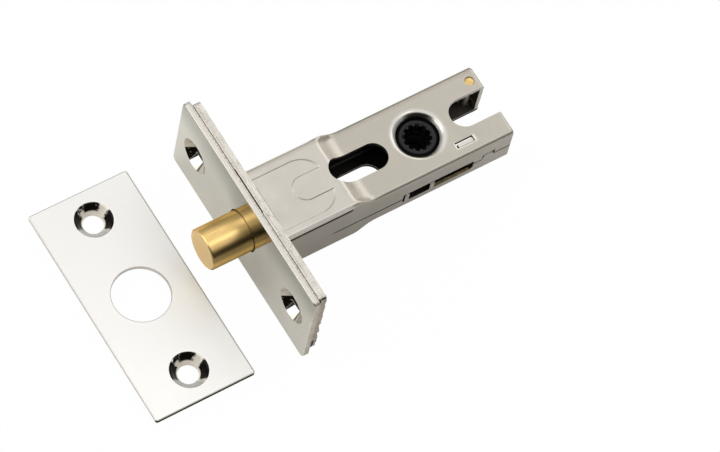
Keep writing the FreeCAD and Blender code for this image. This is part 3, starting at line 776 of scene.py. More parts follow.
def turned(name, profile, centre, axis, material, segments=96):
    """Solid of revolution from pairs of radius and height along an axis."""
    turn = np.linspace(0, 2 * pi, segments, endpoint=False)
    circle = np.stack((np.cos(turn), np.sin(turn)), axis=1)
    rings = [laid(radius * circle, *flat_axes(axis), height) + np.array(centre) for radius, height in profile]
    return loft(name, rings, material)


def drill(name, radius, centre, axis, material, segments=96):
    """Round tool that runs right through the part."""
    return turned(name, [(radius, -FAR), (radius, FAR)], centre, axis, material, segments)


def prism(name, outline, axis, start, end, material):
    """Straight prism over a flat outline."""
    points = np.array(outline)
    return loft(name, [laid(points, *flat_axes(axis), height) for height in (start, end)], material)


def block(name, low, high, material):
    outline = [(low[0], low[1]), (high[0], low[1]), (high[0], high[1]), (low[0], high[1])]
    return prism(name, outline, 2, low[2], high[2], material)


def stadium(start, end, radius, steps=40):
    """Long hole between two round ends on the x axis."""
    turn = np.linspace(-pi / 2, pi / 2, steps)
    points = [(end + radius * cos(a), radius * sin(a)) for a in turn]
    return points + [(start - radius * cos(a), -radius * sin(a)) for a in turn]


def changed(solid, operation, tools):
    """Applies one kind of boolean step to a solid and clears the tools away."""
    for tool in tools:
        change = solid.modifiers.new("Change", "BOOLEAN")
        change.operation = operation
        change.solver = "MANIFOLD"
        change.material_mode = "TRANSFER"
        change.object = tool
    settled(solid)
    if not solid.data.polygons:
        raise RuntimeError("a cut left nothing of " + solid.name)
    for tool in tools:
        bpy.data.objects.remove(tool)
    return solid


def cut(solid, *tools):
    return changed(solid, "DIFFERENCE", tools)


def join(solid, *tools):
    return changed(solid, "UNION", tools)


def two_finishes(piece, second, has_second):
    """Gives a second finish to the faces that pass a test."""
    piece.data.materials.append(second)
    for face in piece.data.polygons:
        face.material_index = int(has_second(face))


def dressed(piece, body, slot, *nodes):
    """Shades a finished piece and hands it to its body, its slot and the solids it stands for."""
    piece.data.shade_smooth()
    piece.data.set_sharp_from_angle(angle=radians(32))
    piece.modifiers.new("Weigh", "WEIGHTED_NORMAL").keep_sharp = True
    settled(piece)
    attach(piece, body)
    if nodes:
        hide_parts(*nodes)


def grown(name, inputs, nodes, links):
    """Object whose mesh comes from a node tree: named inputs, nodes, and links between their sockets."""
    tree = bpy.data.node_groups.new(name, "GeometryNodeTree")
    tree.interface.new_socket("Geometry", in_out="OUTPUT", socket_type="NodeSocketGeometry")
    values = {}
    for label, (kind, value) in inputs.items():
        socket = tree.interface.new_socket(label, in_out="INPUT", socket_type="NodeSocket" + kind)
        values[socket.identifier] = value
    nodes = {
        "inlet": ("NodeGroupInput", {}, {}),
        **nodes,
        "place": ("GeometryNodeInstanceOnPoints", {}, {}),
        "real": ("GeometryNodeRealizeInstances", {}, {}),
        "paint": ("GeometryNodeSetMaterial", {}, {}),
        "outlet": ("NodeGroupOutput", {}, {}),
    }
    made = {}
    for key, (kind, settings, sockets) in nodes.items():
        made[key] = tree.nodes.new(kind)
        for setting, value in settings.items():
            setattr(made[key], setting, value)
        for socket, value in sockets.items():
            made[key].inputs[socket].default_value = value
    links = (
        *links,
        ("place", "Instances", "real", "Geometry"),
        ("real", "Geometry", "paint", "Geometry"),
        ("inlet", "Finish", "paint", "Material"),
        ("paint", "Geometry", "outlet", "Geometry"),
    )
    for start, outlet, end, inlet in links:
        tree.links.new(made[start].outputs[outlet], made[end].inputs[inlet])
    thing = added(name, bpy.data.meshes.new(name))
    growth = thing.modifiers.new(name, "NODES")
    growth.node_group = tree
    for identifier, value in values.items():
        growth[identifier] = value
    settled(thing)
    return thing


# The tools that several pieces are cut with

def sink_profile(radius, wide, depth, roll=0.0):
    """Countersink from above the face down through the sheet, with its rim rolled where asked."""
    over = 0.1 * MM
    slope = (wide - radius) / depth
    profile = [(radius, -FAR), (radius, -depth)]
    if not roll:
        return [*profile, (wide + over * slope, over)]
    tilt = pi / 2 - np.arctan(slope)
    rim = wide + roll * tan(tilt / 2)
    for turn in np.linspace(tilt, 0, 9):
        profile.append((rim - roll * sin(turn), -roll * (1 - cos(turn))))
    return [*profile, (rim, over)]


def screw_row(context, tool, centre):
    """One tool at each screw's place, laid out by a node tree."""
    inputs = {
        "Spacing": ("Float", context.scene.lock_screws.spacing),
        "Tool": ("Object", tool),
        "Finish": ("Material", tool.data.materials[0]),
    }
    nodes = {
        "offset": ("ShaderNodeCombineXYZ", {}, {}),
        "start": ("ShaderNodeVectorMath", {"operation": "SCALE"}, {"Scale": -0.5}),
        "line": ("GeometryNodeMeshLine", {}, {"Count": 2}),
        "info": ("GeometryNodeObjectInfo", {}, {}),
    }
    links = (
        ("inlet", "Spacing", "offset", "Y"),
        ("offset", "Vector", "start", 0),
        ("start", "Vector", "line", "Start Location"),
        ("offset", "Vector", "line", "Offset"),
        ("inlet", "Tool", "info", "Object"),
        ("line", "Mesh", "place", "Points"),
        ("info", "Geometry", "place", "Instance"),
    )
    row = grown(tool.name + " row", inputs, nodes, links)
    row.data.transform(Matrix.Translation(Vector(centre)))
    bpy.data.objects.remove(tool)
    return row


def plate_sinks(context):
    """Both countersinks of the forend."""
    screws = context.scene.lock_screws
    profile = sink_profile(screws.radius, screws.sink_radius, screws.sink_depth)
    tool = turned("Sink", profile, ORIGIN, 0, finish_of("Sink nickel"))
    return screw_row(context, tool, (FACE_HIGH.x, 0, 0))


def bolt_bore(context, material):
    """The bolt's way through both plates of the forend."""
    return drill("Bolt hole", BOLT_RADIUS + context.scene.lock_forend.bolt_gap, ORIGIN, 0, material)


# Pieces

class LOCK_OT_finishes(bpy.types.Operator):
    """Make the metals and plastics, and give the hidden works theirs"""

    bl_idname = "lock.finishes"
    bl_label = "Finishes"

    def execute(self, context):
        scene = context.scene
        tints, screws, case, hub = scene.lock_finishes, scene.lock_screws, scene.lock_case, scene.lock_hub
        half_span = screws.spacing / 2
        polished_nickel("Faceplate nickel", tints.face_nickel, 0.05, (1.0, 0.03, 1.0))
        strike_nickel("Strike nickel", tints.strike_nickel, scene.lock_strike.hole_radius)
        dimple_nickel("Dimple nickel", half_span, screws.radius)
        strike_edge("Strike edge", shade(tints.sheared_nickel, 1.1))
        sink_nickel("Sink nickel", shade(tints.strike_nickel, 0.84), half_span)
        sheared_nickel("Sheared plate", tints.sheared_nickel, 0.25, (0.5, 1.0, 0.12))
        sheared_nickel("Torn plate", shade(tints.sheared_nickel, 1.05), 1.2, (1.0, 0.05, 1.0))
        sheared_nickel("Sheared sheet", shade(tints.sheared_nickel, 1.1), 0.3, (1.0, 1.0, 0.15), 0.3)
        sheared_nickel("Window edge", (0.46, 0.35, 0.18), 1.6, (0.3, 1.0, 1.0), 0.3)
        # painted highlight: near-white and not metallic, so these edges read lit though the shell above shades
        # them
        sheared_nickel("Lit edge", (1.0, 0.98, 0.93), 0.3, (1.0, 1.0, 0.15), 0.0)
        lit_rim("Lit rim", case)
        satin_nickel("Satin nickel", tints.satin_nickel, case)
        brushed_brass("Brushed brass", tints.brass)
        rivet_brass("Rivet brass", shade(tints.brass, 0.8))
        moulded_black("Hub plastic", tints.hub_black, hub.socket_radius, hub.radius - hub.rim)
        # painted shade: near-black finishes for the case's inside, its grooves and gaps, and the hidden works
        shaded_steel("Dark inside", tints.inner_steel, 0.5)
        shaded_steel("Groove", (0.085, 0.062, 0.036), 0.5)
        shaded_steel("Oiled steel", shade(tints.inner_steel, 1.2), 0.55)
        shaded_steel("Spring steel", shade(tints.inner_steel, 3.0), 0.3)
        shaded_steel("Guide", shade(tints.inner_steel, 0.5), 0.5)
        works = {
            "tail_bar": "Oiled steel",
            "tail_rivets": "Oiled steel",
            "detent_spring": "Spring steel",
            "bolt_guide": "Guide",
        }
        for node, finish in works.items():
            materials = frame["nodes"][node].data.materials
            materials.clear()
            materials.append(finish_of(finish))
        return {"FINISHED"}


class LOCK_OT_faceplate(bpy.types.Operator):
    """Build the polished faceplate with its countersinks"""

    bl_idname = "lock.faceplate"
    bl_label = "Faceplate"

    def execute(self, context):
        centre, half = (FACE_LOW + FACE_HIGH) / 2, (FACE_HIGH - FACE_LOW) / 2
        edges = finish_of("Sheared plate")
        nickel = finish_of("Faceplate nickel")
        plate = slab("faceplate_dressed", centre, half, context.scene.lock_forend, 1, 2, nickel)
        two_finishes(plate, edges, lambda face: abs(face.normal.x) < 0.3)
        hole = bolt_bore(context, edges)
        sinks = plate_sinks(context)
        wide = context.scene.lock_screws.sink_radius
        ring = [(wide, MOUNT_HIGH.x), (wide, FACE_LOW.x + 0.2 * MM)]
        join(plate, screw_row(context, turned("Boss", ring, ORIGIN, 0, edges), ORIGIN))
        cut(plate, hole, sinks)
        dressed(plate, "lock_body", "polished_nickel", "faceplate")
        return {"FINISHED"}


class LOCK_OT_mounting_plate(bpy.types.Operator):
    """Build the thick plate behind the faceplate, with its torn edges"""

    bl_idname = "lock.mounting_plate"
    bl_label = "Mounting plate"

    def execute(self, context):
        forend = context.scene.lock_forend
        torn_metal = finish_of("Torn plate")
        plate = loft("mounting_plate_dressed", self.torn_rings(forend), torn_metal)
        two_finishes(plate, finish_of("Satin nickel"), lambda face: abs(face.normal.x) > 0.8)
        tools = [block("Groove", low, high, finish_of(finish)) for low, high, finish in self.grooves(forend)]
        cut(plate, bolt_bore(context, torn_metal), plate_sinks(context), *tools)
        dressed(plate, "lock_body", "plated_steel", "mounting_plate")
        return {"FINISHED"}

    def torn_rings(self, forend):
        """Outlines through the plate's thickness, torn away at one end."""
        low, high = MOUNT_LOW, MOUNT_HIGH
        torn_run = 0.6 * MM
        draw = np.random.default_rng(11)
        outline = rounded_outline(high.y, high.z, forend.corner, 0.35 * MM)
        count = len(outline)
        size = np.linalg.norm(outline, axis=1)
        torn = np.clip((outline[:, 0] - high.y + torn_run) / torn_run, 0, 1)
        wander = np.tile(draw.normal(0, 1, count), 3)
        wander = np.convolve(wander, np.hanning(9) / 2.5, "same")[count:2 * count]
        rings = []
        for share in (0, 0.25, 0.5, 0.75, 1):
            chip = draw.normal(0, 0.1, count) + wander
            depth = (0.03 * MM + torn * forend.burr * (1 - share)) * np.abs(chip)
            moved = outline * (1 - depth / size)[:, None]
            rings.append(laid(moved, 1, 2, low.x + share * (high.x - low.x)))
        return rings

    def grooves(self, forend):
        """Gaps between the two plates and a line along the top, as pairs of corners and a finish."""
        low, high = MOUNT_LOW, MOUNT_HIGH
        dark = "Dark inside"
        top = high.z - 1.2 * MM
        line = high.x - 0.8 * MM
        line_start = (line, low.y + 2 * MM, high.z - 0.12 * MM)
        behind = high.x - 0.45 * MM
        split = (low.x + 0.15 * MM, high.y - 0.55 * MM, high.z - 0.6 * MM)
        return (
            ((high.x - forend.groove / 2, -FAR, top), (FAR, FAR, FAR), dark),
            ((high.x - forend.groove, -9 * MM, top), (FAR, 3 * MM, FAR), dark),
            (line_start, (line + 0.1 * MM, high.y - 6 * MM, FAR), "Torn plate"),
            ((behind, high.y - 1.7 * MM, low.z - 1 * MM), (FAR, FAR, -high.z * 0.55), dark),
            ((behind, high.y - 0.6 * MM, high.z - 1.1 * MM), (FAR, FAR, FAR), dark),
            (split, (high.x - 0.7 * MM, high.y - 0.28 * MM, FAR), dark),
        )


def lower_of(first, second, ease):
    """Smooth minimum of two heights."""
    near = np.maximum(ease - np.abs(first - second), 0) / ease
    return np.minimum(first, second) - near * near * ease / 4


def higher_of(first, second, ease):
    return -lower_of(-first, -second, ease)


def case_height(case, x, y):
    """Half thickness of the case, with the ramp drawn rearwards at the folds."""
    drawn_from, drawn_width = 6.9 * MM, 2.5 * MM
    side = np.clip((np.abs(y) - drawn_from) / drawn_width, 0, 1)
    drawn = x + case.lip_run * side ** 3
    slope = (case.front_half - case.rear_half) / (case.ramp_front - case.ramp_rear)
    ramp = case.rear_half + (drawn - case.ramp_rear) * slope
    front = np.full_like(ramp, case.front_half)
    rear = np.full_like(ramp, case.rear_half)
    return higher_of(rear, lower_of(front, ramp, case.ramp_ease), case.foot_ease)


def height_at(case, x, y):
    return case_height(case, np.array([x]), np.array([y]))[0]


def step_down(distance, width):
    """Runs smoothly from 0 outside a border to 1 inside it."""
    share = np.clip(distance / width + 0.5, 0, 1)
    return share * share * (3 - 2 * share)


def claw_depth_at(case, x, y):
    """Claw-shaped recess: a wide tongue with a round-ended tongue left standing in it."""
    straight, squeeze, taper = case.claw_straight, 0.94, 0.95
    y = y - case.claw_side
    away = np.abs(y)
    bend = case.claw_half - (straight - case.claw_tip) * taper
    radius = case.claw_half - bend
    round_end = radius - np.hypot((x - straight) * squeeze, away - bend)
    flat_end = radius - (straight - x) * squeeze
    inside = np.where(x > straight, case.claw_half - away, np.where(away > bend, round_end, flat_end))
    bottom = case.claw_bottom - case.claw_mouth
    tongue = np.where(x < bottom, away, np.hypot(x - bottom, y)) - case.claw_mouth
    return case.claw_depth * step_down(np.minimum(inside, tongue), case.claw_step)


def groove_at(case, x, y):
    """Cross groove behind the mounting plate."""
    deep = 0.16 * MM
    inside = np.minimum(deep - np.abs(x - case.stake_line), case.stake_half - np.abs(y))
    return deep * step_down(inside, 0.2 * MM)


def dish_at(case, x, y):
    """Rolled dish round the hub's collar."""
    away = np.hypot(x - HUB_X, y)
    share = np.clip((case.dish_radius - away) / (case.dish_radius - case.collar_radius), 0, 0.998)
    return case.dish_depth * (1 - np.sqrt(1 - share * share))


def lip_at(case, x, y):
    """Slightly raised lip round the lanced tab's slot."""
    lip_height, lip_width = 0.2 * MM, 0.8 * MM
    out_x = np.abs(x - case.tab_x) - case.tab_length / 2
    out_y = np.abs(y - case.tab_y) - case.sheet / 2
    away = np.hypot(np.maximum(out_x, 0), np.maximum(out_y, 0))
    ends = np.clip(1 + out_x / lip_width, 0, 1)
    return lip_height * ends * np.clip(1 - away / lip_width, 0, 1) ** 2


def stations(places, steps):
    """Stations from each place to the next, the step between them given for each span."""
    found = []
    for start, end, step in zip(places, places[1:], steps):
        count = max(1, round(abs(end - start) / step))
        found += list(np.linspace(start, end, count, endpoint=False))
    return found


def case_solid(name, case, sign, low, steps, across_step):
    """Outside of the near shell (sign 1) or the far one (-1) as a closed solid, with a rounded rear end."""
    before_ramp, behind_ramp, before_dish, behind_dish = -21.6 * MM, -28.4 * MM, -38.0 * MM, -52.6 * MM
    places = (MOUNT_LOW.x, before_ramp, behind_ramp, before_dish, behind_dish, CASE_REAR + case.rear_edge)
    rows = [(x, 0.0) for x in stations(places, [step * MM for step in steps])]
    for turn in np.linspace(0, pi / 2, 7):
        rows.append((CASE_REAR + case.rear_edge * (1 - sin(turn)), case.rear_edge * (1 - cos(turn))))
    top = np.linspace(-1, 1, round(2 * (CASE_HALF - case.fold) / across_step) + 1)
    arcs = np.linspace(0, pi / 2, 9)[1:]
    walls = np.linspace(0, 1, 6)[1:]
    rings = []
    for x, inset in rows:
        half = CASE_HALF - inset
        fold = case.fold - inset * 0.8
        y_arc = half - fold + fold * np.sin(arcs)
        y_side = np.concatenate((y_arc, np.full_like(walls, half)))
        y = np.concatenate((-y_side[::-1], top * (half - fold), y_side))
        height = case_height(case, np.full_like(y, x), y) - inset
        press = dish_at(case, x, y)
        if sign > 0:
            press = claw_depth_at(case, x, y) + groove_at(case, x, y) - lip_at(case, x, y) + press
        side_drop = np.concatenate((fold * (1 - np.cos(arcs)), np.zeros(len(walls))))
        z = height - press - np.concatenate((side_drop[::-1], np.zeros(len(top)), side_drop))
        edge = height_at(case, x, CASE_HALF) - inset - fold
        z_wall = edge + (low - edge) * walls
        z[:len(walls)] = z_wall[::-1]
        z[-len(walls):] = z_wall
        rings.append(np.stack((np.full_like(y, x), y, sign * z), axis=1))
    return loft(name, rings, finish_of("Satin nickel"))


def cavity(case, sign, material):
    """Hollow inside the near shell (sign 1) or the far one (-1), less the collar that carries the hub."""
    half = CASE_HALF - case.sheet
    rear = CASE_REAR + case.sheet
    ramp_start, ramp_end, ahead = case.ramp_front + 2 * MM, case.ramp_rear - 2 * MM, 0.2 * MM
    xs = stations((FAR, ramp_start, ramp_end), (0.02, 0.4 * MM))
    rings = []
    for x in (*xs, ramp_end, rear if sign > 0 else rear - FAR):
        top = height_at(case, x + ahead, 0.0) - case.sheet
        corners = ((-half, -FAR), (-half, top), (half, top), (half, -FAR))
        rings.append(np.array([(x, y, sign * z) for y, z in corners]))
    hollow = loft("Hollow", rings, material)
    narrow = case.collar_radius + case.collar_wall
    wide = case.dish_radius + 0.5 * MM
    end = case.rear_half - case.dish_depth - case.collar_lip
    heights = (end, end + case.collar_lip, case.rear_half - case.sheet, FAR)
    profile = [(radius, sign * height) for radius, height in zip((narrow, narrow, wide, wide), heights)]
    return cut(hollow, turned("Collar", profile, (HUB_X, 0, 0), 2, material))


def shell_tools(case, sign, seam, plain_low, plain_high):
    """Tools for a shell's hollow, its openings and its edges along the seam."""
    dark, plain = finish_of("Dark inside"), finish_of("Sheared sheet")
    sheared = plain if sign > 0 else finish_of("Lit rim")
    key_outline = stadium(case.key_rear, case.key_front, case.key_radius)
    fork_outline = stadium(CASE_REAR - FAR, case.fork_bottom - case.fork_radius, case.fork_radius)
    return [
        cavity(case, sign, dark),
        prism("Key slot", key_outline, 2, -FAR, FAR, dark if sign > 0 else sheared),
        prism("Fork slot", fork_outline, 2, -FAR, FAR, sheared),
        drill("Hub hole", case.collar_radius, (HUB_X, 0, 0), 2, dark),
        drill("Rivet hole", RIVET_RADIUS, (RIVET_MIDDLE.x, RIVET_MIDDLE.y, 0), 2, sheared, COARSE),
        prism("Seam", seam, 1, 0.0, FAR, dark),
        block("Plain seam", (CASE_REAR - FAR, -FAR, plain_low), (FAR, 0.0, plain_high), plain),
    ]


def stake(case, sign):
    """Tongue of a shell that is staked into the mounting plate."""
    top = case.front_half - (case.claw_depth if sign > 0 else 0)
    z = sorted((sign * (case.front_half - case.sheet), sign * top))
    low = (MOUNT_LOW.x - 0.5 * MM, -case.stake_half, z[0])
    return block("Stake", low, (MOUNT_HIGH.x, case.stake_half, z[1]), finish_of("Satin nickel"))


def near_seam(seam):
    """What the windowed wall of the near shell loses, seen from the side."""
    front, rear = FAR, CASE_REAR - FAR
    half = seam.height / 2
    return [
        (front, -FAR), (front, seam.height), (seam.window_front, seam.height),
        (seam.window_front, seam.window_top), (seam.window_rear, seam.window_top),
        (seam.window_rear, half), (seam.jog_front, half), (seam.jog_front - seam.slack, seam.jog_top),
        (seam.jog_rear, seam.jog_top), (seam.jog_rear, 0.0), (rear, 0.0), (rear, -FAR),
    ]


def far_seam(seam):
    """What the windowed wall of the far shell loses, with its two lugs left standing."""
    front, rear = FAR, CASE_REAR - FAR
    half = seam.height / 2 - seam.gap
    nick, foot = seam.slack, seam.window_bottom
    front_end, rear_end = seam.lug_front - seam.lug_long, seam.lug_rear - seam.lug_long
    return [
        (front, FAR), (front, seam.height), (seam.opens, seam.height),
        (seam.opens - 2 * MM, seam.height - seam.gap), (seam.window_front, seam.height - seam.gap),
        (seam.window_front, foot),
        (seam.lug_front, foot), (seam.lug_front, -nick), (seam.lug_front - nick, 0.0),
        (front_end + nick, 0.0), (front_end, -nick), (front_end, foot),
        (seam.lug_rear, foot), (seam.lug_rear, -seam.lug_drop), (rear_end, -seam.lug_drop), (rear_end, foot),
        (seam.window_rear + seam.window_corner, foot),
        (seam.window_rear, foot + seam.window_corner), (seam.window_rear, half),
        (seam.jog_front, half), (seam.jog_front - 2 * nick, seam.gap), (seam.jog_rear + nick, seam.gap),
        (seam.jog_rear + nick, -seam.gap), (rear, -seam.gap), (rear, FAR),
    ]


class LOCK_OT_near_shell(bpy.types.Operator):
    """Press, fold and pierce the near half of the case"""

    bl_idname = "lock.near_shell"
    bl_label = "Near shell"

    def execute(self, context):
        case, seam = context.scene.lock_case, context.scene.lock_seam
        shell = case_solid("case_near_dressed", case, 1, -3.5 * MM, (0.15, 0.17, 0.8, 0.2, 0.3), 0.15 * MM)
        tools = shell_tools(case, 1, near_seam(seam), -FAR, seam.plain)
        groove_z = case.front_half - case.groove_drop
        for side in (-1, 1):
            y = sorted((side * (CASE_HALF - case.groove_size), side * FAR))
            low = (case.ramp_front + 1 * MM, y[0], groove_z - case.groove_tall)
            tools.append(block("Groove", low, (FAR, y[1], groove_z), finish_of("Groove")))
        reach = Vector((case.tab_length / 2 + case.tab_gap, case.sheet / 2 + case.tab_gap, 0))
        middle = Vector((case.tab_x, case.tab_y, 0))
        low = middle - reach + Vector((0.07 * MM, case.tab_gap - case.tab_slack, 0))
        tools.append(block("Tab slot", low, middle + reach + Vector((0, 0, FAR)), finish_of("Window edge")))
        cut(shell, *tools)
        join(shell, stake(case, 1), *self.rear_flaps(case, seam))
        dressed(shell, "lock_body", "satin_nickel", "case_shell_near")
        return {"FINISHED"}

    def rear_flaps(self, case, seam):
        """The rear wall's tongues that reach down inside the far shell."""
        inner = CASE_HALF - case.sheet - case.tab_gap
        low_z = -case.rear_half + case.sheet + case.tab_gap
        flaps = []
        for side, top in ((-1, seam.plain + case.sheet), (1, case.sheet)):
            y = sorted((side * inner, side * case.fork_radius))
            low = (CASE_REAR + case.tab_gap, y[0], low_z)
            flaps.append(block("Flap", low, (CASE_REAR + case.sheet, y[1], top), finish_of("Satin nickel")))
        return flaps


class LOCK_OT_far_shell(bpy.types.Operator):
    """Press, fold and pierce the far half of the case, with its lanced tab"""

    bl_idname = "lock.far_shell"
    bl_label = "Far shell"

    def execute(self, context):
        case, seam = context.scene.lock_case, context.scene.lock_seam
        shell = case_solid("case_far_dressed", case, -1, -1.5 * MM, (1.0, 0.2, 1.0, 0.25, 1.0), 0.25 * MM)
        tools = shell_tools(case, -1, far_seam(seam), seam.plain - seam.gap, FAR)
        cut(shell, *tools, *self.window_tools(seam))
        reach = Vector((case.tab_length / 2 - case.tab_slack / 2, case.sheet / 2, 0))
        middle = Vector((case.tab_x - case.tab_slack / 2, case.tab_y, 0))
        low = middle - reach + Vector((0, 0, -case.rear_half + case.sheet / 2))
        high = middle + reach + Vector((0, 0, case.rear_half - case.tab_sunk))
        join(shell, block("Tab", low, high, finish_of("Satin nickel")), stake(case, -1))
        dressed(shell, "lock_body", "satin_nickel", "case_shell_far")
        return {"FINISHED"}

    def window_tools(self, seam):
        """Tools for the window's lower edges and for the bright tops of its lugs and of the jog."""
        nick, skim = seam.slack, 0.03 * MM
        foot = seam.window_bottom - skim
        rear, rear_lug = seam.window_rear + seam.window_corner, seam.lug_rear - seam.lug_long
        front_lug = seam.lug_front - seam.lug_long
        jog_rear, jog_front = seam.jog_rear + nick, seam.jog_front - 2 * nick
        inner = CASE_HALF - 0.7 * MM
        spans = (
            (rear, rear_lug, FAR, foot, "Window edge"),
            (rear, rear_lug, inner, foot - 1.0 * MM, "Dark inside"),
            (seam.lug_rear, front_lug, FAR, foot, "Dark inside"),
            (front_lug + nick, seam.lug_front - nick, FAR, -skim, "Lit edge"),
            (rear_lug, seam.lug_rear, FAR, -seam.lug_drop - skim, "Lit edge"),
            (jog_rear, jog_front, FAR, seam.gap - 0.2 * MM, "Lit edge"),
            (jog_rear, jog_front, inner + 0.2 * MM, seam.gap - 1.5 * MM, "Dark inside"),
        )
        return [
            block("Foot", (start, 0.0, height), (end, side, FAR), finish_of(finish))
            for start, end, side, height, finish in spans
        ]


class LOCK_OT_bolt(bpy.types.Operator):
    """Turn the round bolt and mill its seat"""

    bl_idname = "lock.bolt"
    bl_label = "Bolt"

    def execute(self, context):
        sizes = context.scene.lock_bolt
        ease, nose, chamfer = 0.08 * MM, BOLT_HIGH.x, sizes.chamfer
        profile = [
            (BOLT_RADIUS, BOLT_LOW.x),
            (BOLT_RADIUS, nose - chamfer - ease),
            (BOLT_RADIUS - ease / 4, nose - chamfer),
            (BOLT_RADIUS - chamfer, nose - ease / 4),
            (BOLT_RADIUS - chamfer - ease, nose),
        ]
        brass = finish_of("Brushed brass")
        bolt = turned("bolt_dressed", profile, ORIGIN, 0, brass, FINE)
        cut(bolt, block("Seat", (-FAR, -FAR, -FAR), (sizes.seat_front, FAR, sizes.seat_top), brass))
        dressed(bolt, "bolt_group", "brass", "bolt")
        return {"FINISHED"}


def tooth_ring(sizes, material):
    """Teeth round the hub's socket, laid out by a node tree."""
    inputs = {
        "Root radius": ("Float", sizes.socket_radius),
        "Tooth depth": ("Float", sizes.tooth_depth),
        "Height": ("Float", 2 * (HUB_TOP - sizes.edge)),
        "Teeth": ("Int", sizes.teeth),
        "Finish": ("Material", material),
    }
    nodes = {
        "circle": ("GeometryNodeMeshCircle", {}, {}),
        "tooth": ("GeometryNodeMeshCylinder", {}, {"Vertices": 3}),
        "inwards": ("GeometryNodeTransform", {}, {"Rotation": (0, 0, pi), "Scale": (1.0, 1.5, 1.0)}),
        "where": ("GeometryNodeInputPosition", {}, {}),
        "aim": ("FunctionNodeAlignRotationToVector", {"axis": "X", "pivot_axis": "Z"}, {}),
    }
    links = (
        ("inlet", "Teeth", "circle", "Vertices"),
        ("inlet", "Root radius", "circle", "Radius"),
        ("inlet", "Tooth depth", "tooth", "Radius"),
        ("inlet", "Height", "tooth", "Depth"),
        ("tooth", "Mesh", "inwards", "Geometry"),
        ("where", "Position", "aim", "Vector"),
        ("circle", "Mesh", "place", "Points"),
        ("inwards", "Geometry", "place", "Instance"),
        ("aim", "Rotation", "place", "Rotation"),
    )
    ring = grown("hub_teeth", inputs, nodes, links)
    ring.data.transform(Matrix.Translation((HUB_X, 0, 0)) @ Matrix.Rotation(pi / sizes.teeth, 4, "Z"))
    return ring


def socket_profile(sizes):
    """Bore of the hub, from below: a stop for the far spindle, then ledges that widen upwards."""
    wide, narrow, top = sizes.socket_radius, sizes.stop_radius, HUB_TOP
    lead, past, steps = 0.25 * MM, 0.01 * MM, 4
    height = sizes.stop_low + sizes.stop_thick
    rise = (sizes.shoulder_top - sizes.stop_low - sizes.stop_thick) / steps
    profile = [(wide + lead, -FAR), (wide + lead, -top - past), (wide, -top + lead)]
    profile += [(wide, sizes.stop_low), (narrow, sizes.stop_low), (narrow, height)]
    for step in range(1, steps + 1):
        radius = narrow + (wide - narrow) * (0.45 + 0.55 * step / steps)
        profile += [(radius, height), (radius, height + rise)]
        height += rise
    return [*profile, (wide, top - lead), (wide + lead, top + past), (wide + lead, FAR)]


class LOCK_OT_hub(bpy.types.Operator):
    """Mould the hub with its toothed socket and driving arm"""

    bl_idname = "lock.hub"
    bl_label = "Hub"

    def execute(self, context):
        sizes = context.scene.lock_hub
        plastic = finish_of("Hub plastic")
        outline = self.end(sizes, sizes.core_low, -1)[::-1] + self.end(sizes, sizes.core_high, 1)
        hub = turned("hub_dressed", outline, (HUB_X, 0, 0), 2, plastic)
        reach, gap = sizes.shoulder, 0.15 * MM
        z0, z1 = sizes.arm_low - gap, sizes.arm_high + gap
        side = block("Flat", (HUB_X - reach, sizes.flat, z0), (HUB_X + reach, reach, z1), plastic)
        rear = block("Flat", (HUB_X - reach, -reach, z0), (HUB_X - sizes.flat, reach, z1), plastic)
        cut(hub, side, rear)
        swing = JOINTS["bolt_slide"]["range_m"][1] / 2
        arm_outline = stadium(0, swing / sin(pi / 4), sizes.arm_tip, 12)
        arm = prism("Arm", arm_outline, 2, sizes.arm_low, sizes.arm_high, plastic)
        arm.data.transform(Matrix.Translation((HUB_X, 0, 0)) @ Matrix.Rotation(-pi / 4, 4, "Z"))
        join(hub, arm)
        cut(hub, turned("Socket", socket_profile(sizes), (HUB_X, 0, 0), 2, plastic))
        dressed(hub, "hub_group", "hub_plastic", "hub")
        dressed(tooth_ring(sizes, plastic), "hub_group", "hub_plastic")
        return {"FINISHED"}

    def end(self, sizes, core_end, side):
        """One end of the hub: core, shoulder and a tapered end with a rounded rim."""
        radius, edge = sizes.radius - sizes.rim, sizes.edge
        shoulder_z = side * sizes.shoulder_top
        outline = [(sizes.core, core_end), (sizes.shoulder, core_end), (sizes.shoulder, shoulder_z)]
        outline += [(sizes.radius, shoulder_z), (sizes.radius, side * (HUB_TOP - 1.2 * sizes.rim))]
        for turn in np.linspace(0, pi / 2, 6):
            outline.append((radius - edge * (1 - cos(turn)), side * (HUB_TOP - edge + edge * sin(turn))))
        return outline


class LOCK_OT_rear_rivet(bpy.types.Operator):
    """Set the rear rivet, with its ends peened"""

    bl_idname = "lock.rear_rivet"
    bl_label = "Rear rivet"

    def execute(self, context):
        radius = RIVET_RADIUS - 0.07 * MM
        low, high, crown = RIVET_LOW.z, RIVET_HIGH.z, 0.12 * MM
        profile = [(radius * 0.5, low), (radius, low + crown), (radius, high - crown)]
        profile += [(radius * share, high - crown * share ** 4) for share in (0.97, 0.9, 0.75, 0.5, 0.2)]
        foot = (RIVET_MIDDLE.x, RIVET_MIDDLE.y, 0)
        rivet = turned("rear_rivet_dressed", profile, foot, 2, finish_of("Rivet brass"), COARSE)
        shank = high - 1.0 * MM
        two_finishes(
            rivet, finish_of("Spring steel"),
            lambda face: abs(face.normal.z) < 0.05 and abs(face.center.z) < shank,
        )
        dressed(rivet, "lock_body", "brass", "rear_rivet")
        return {"FINISHED"}


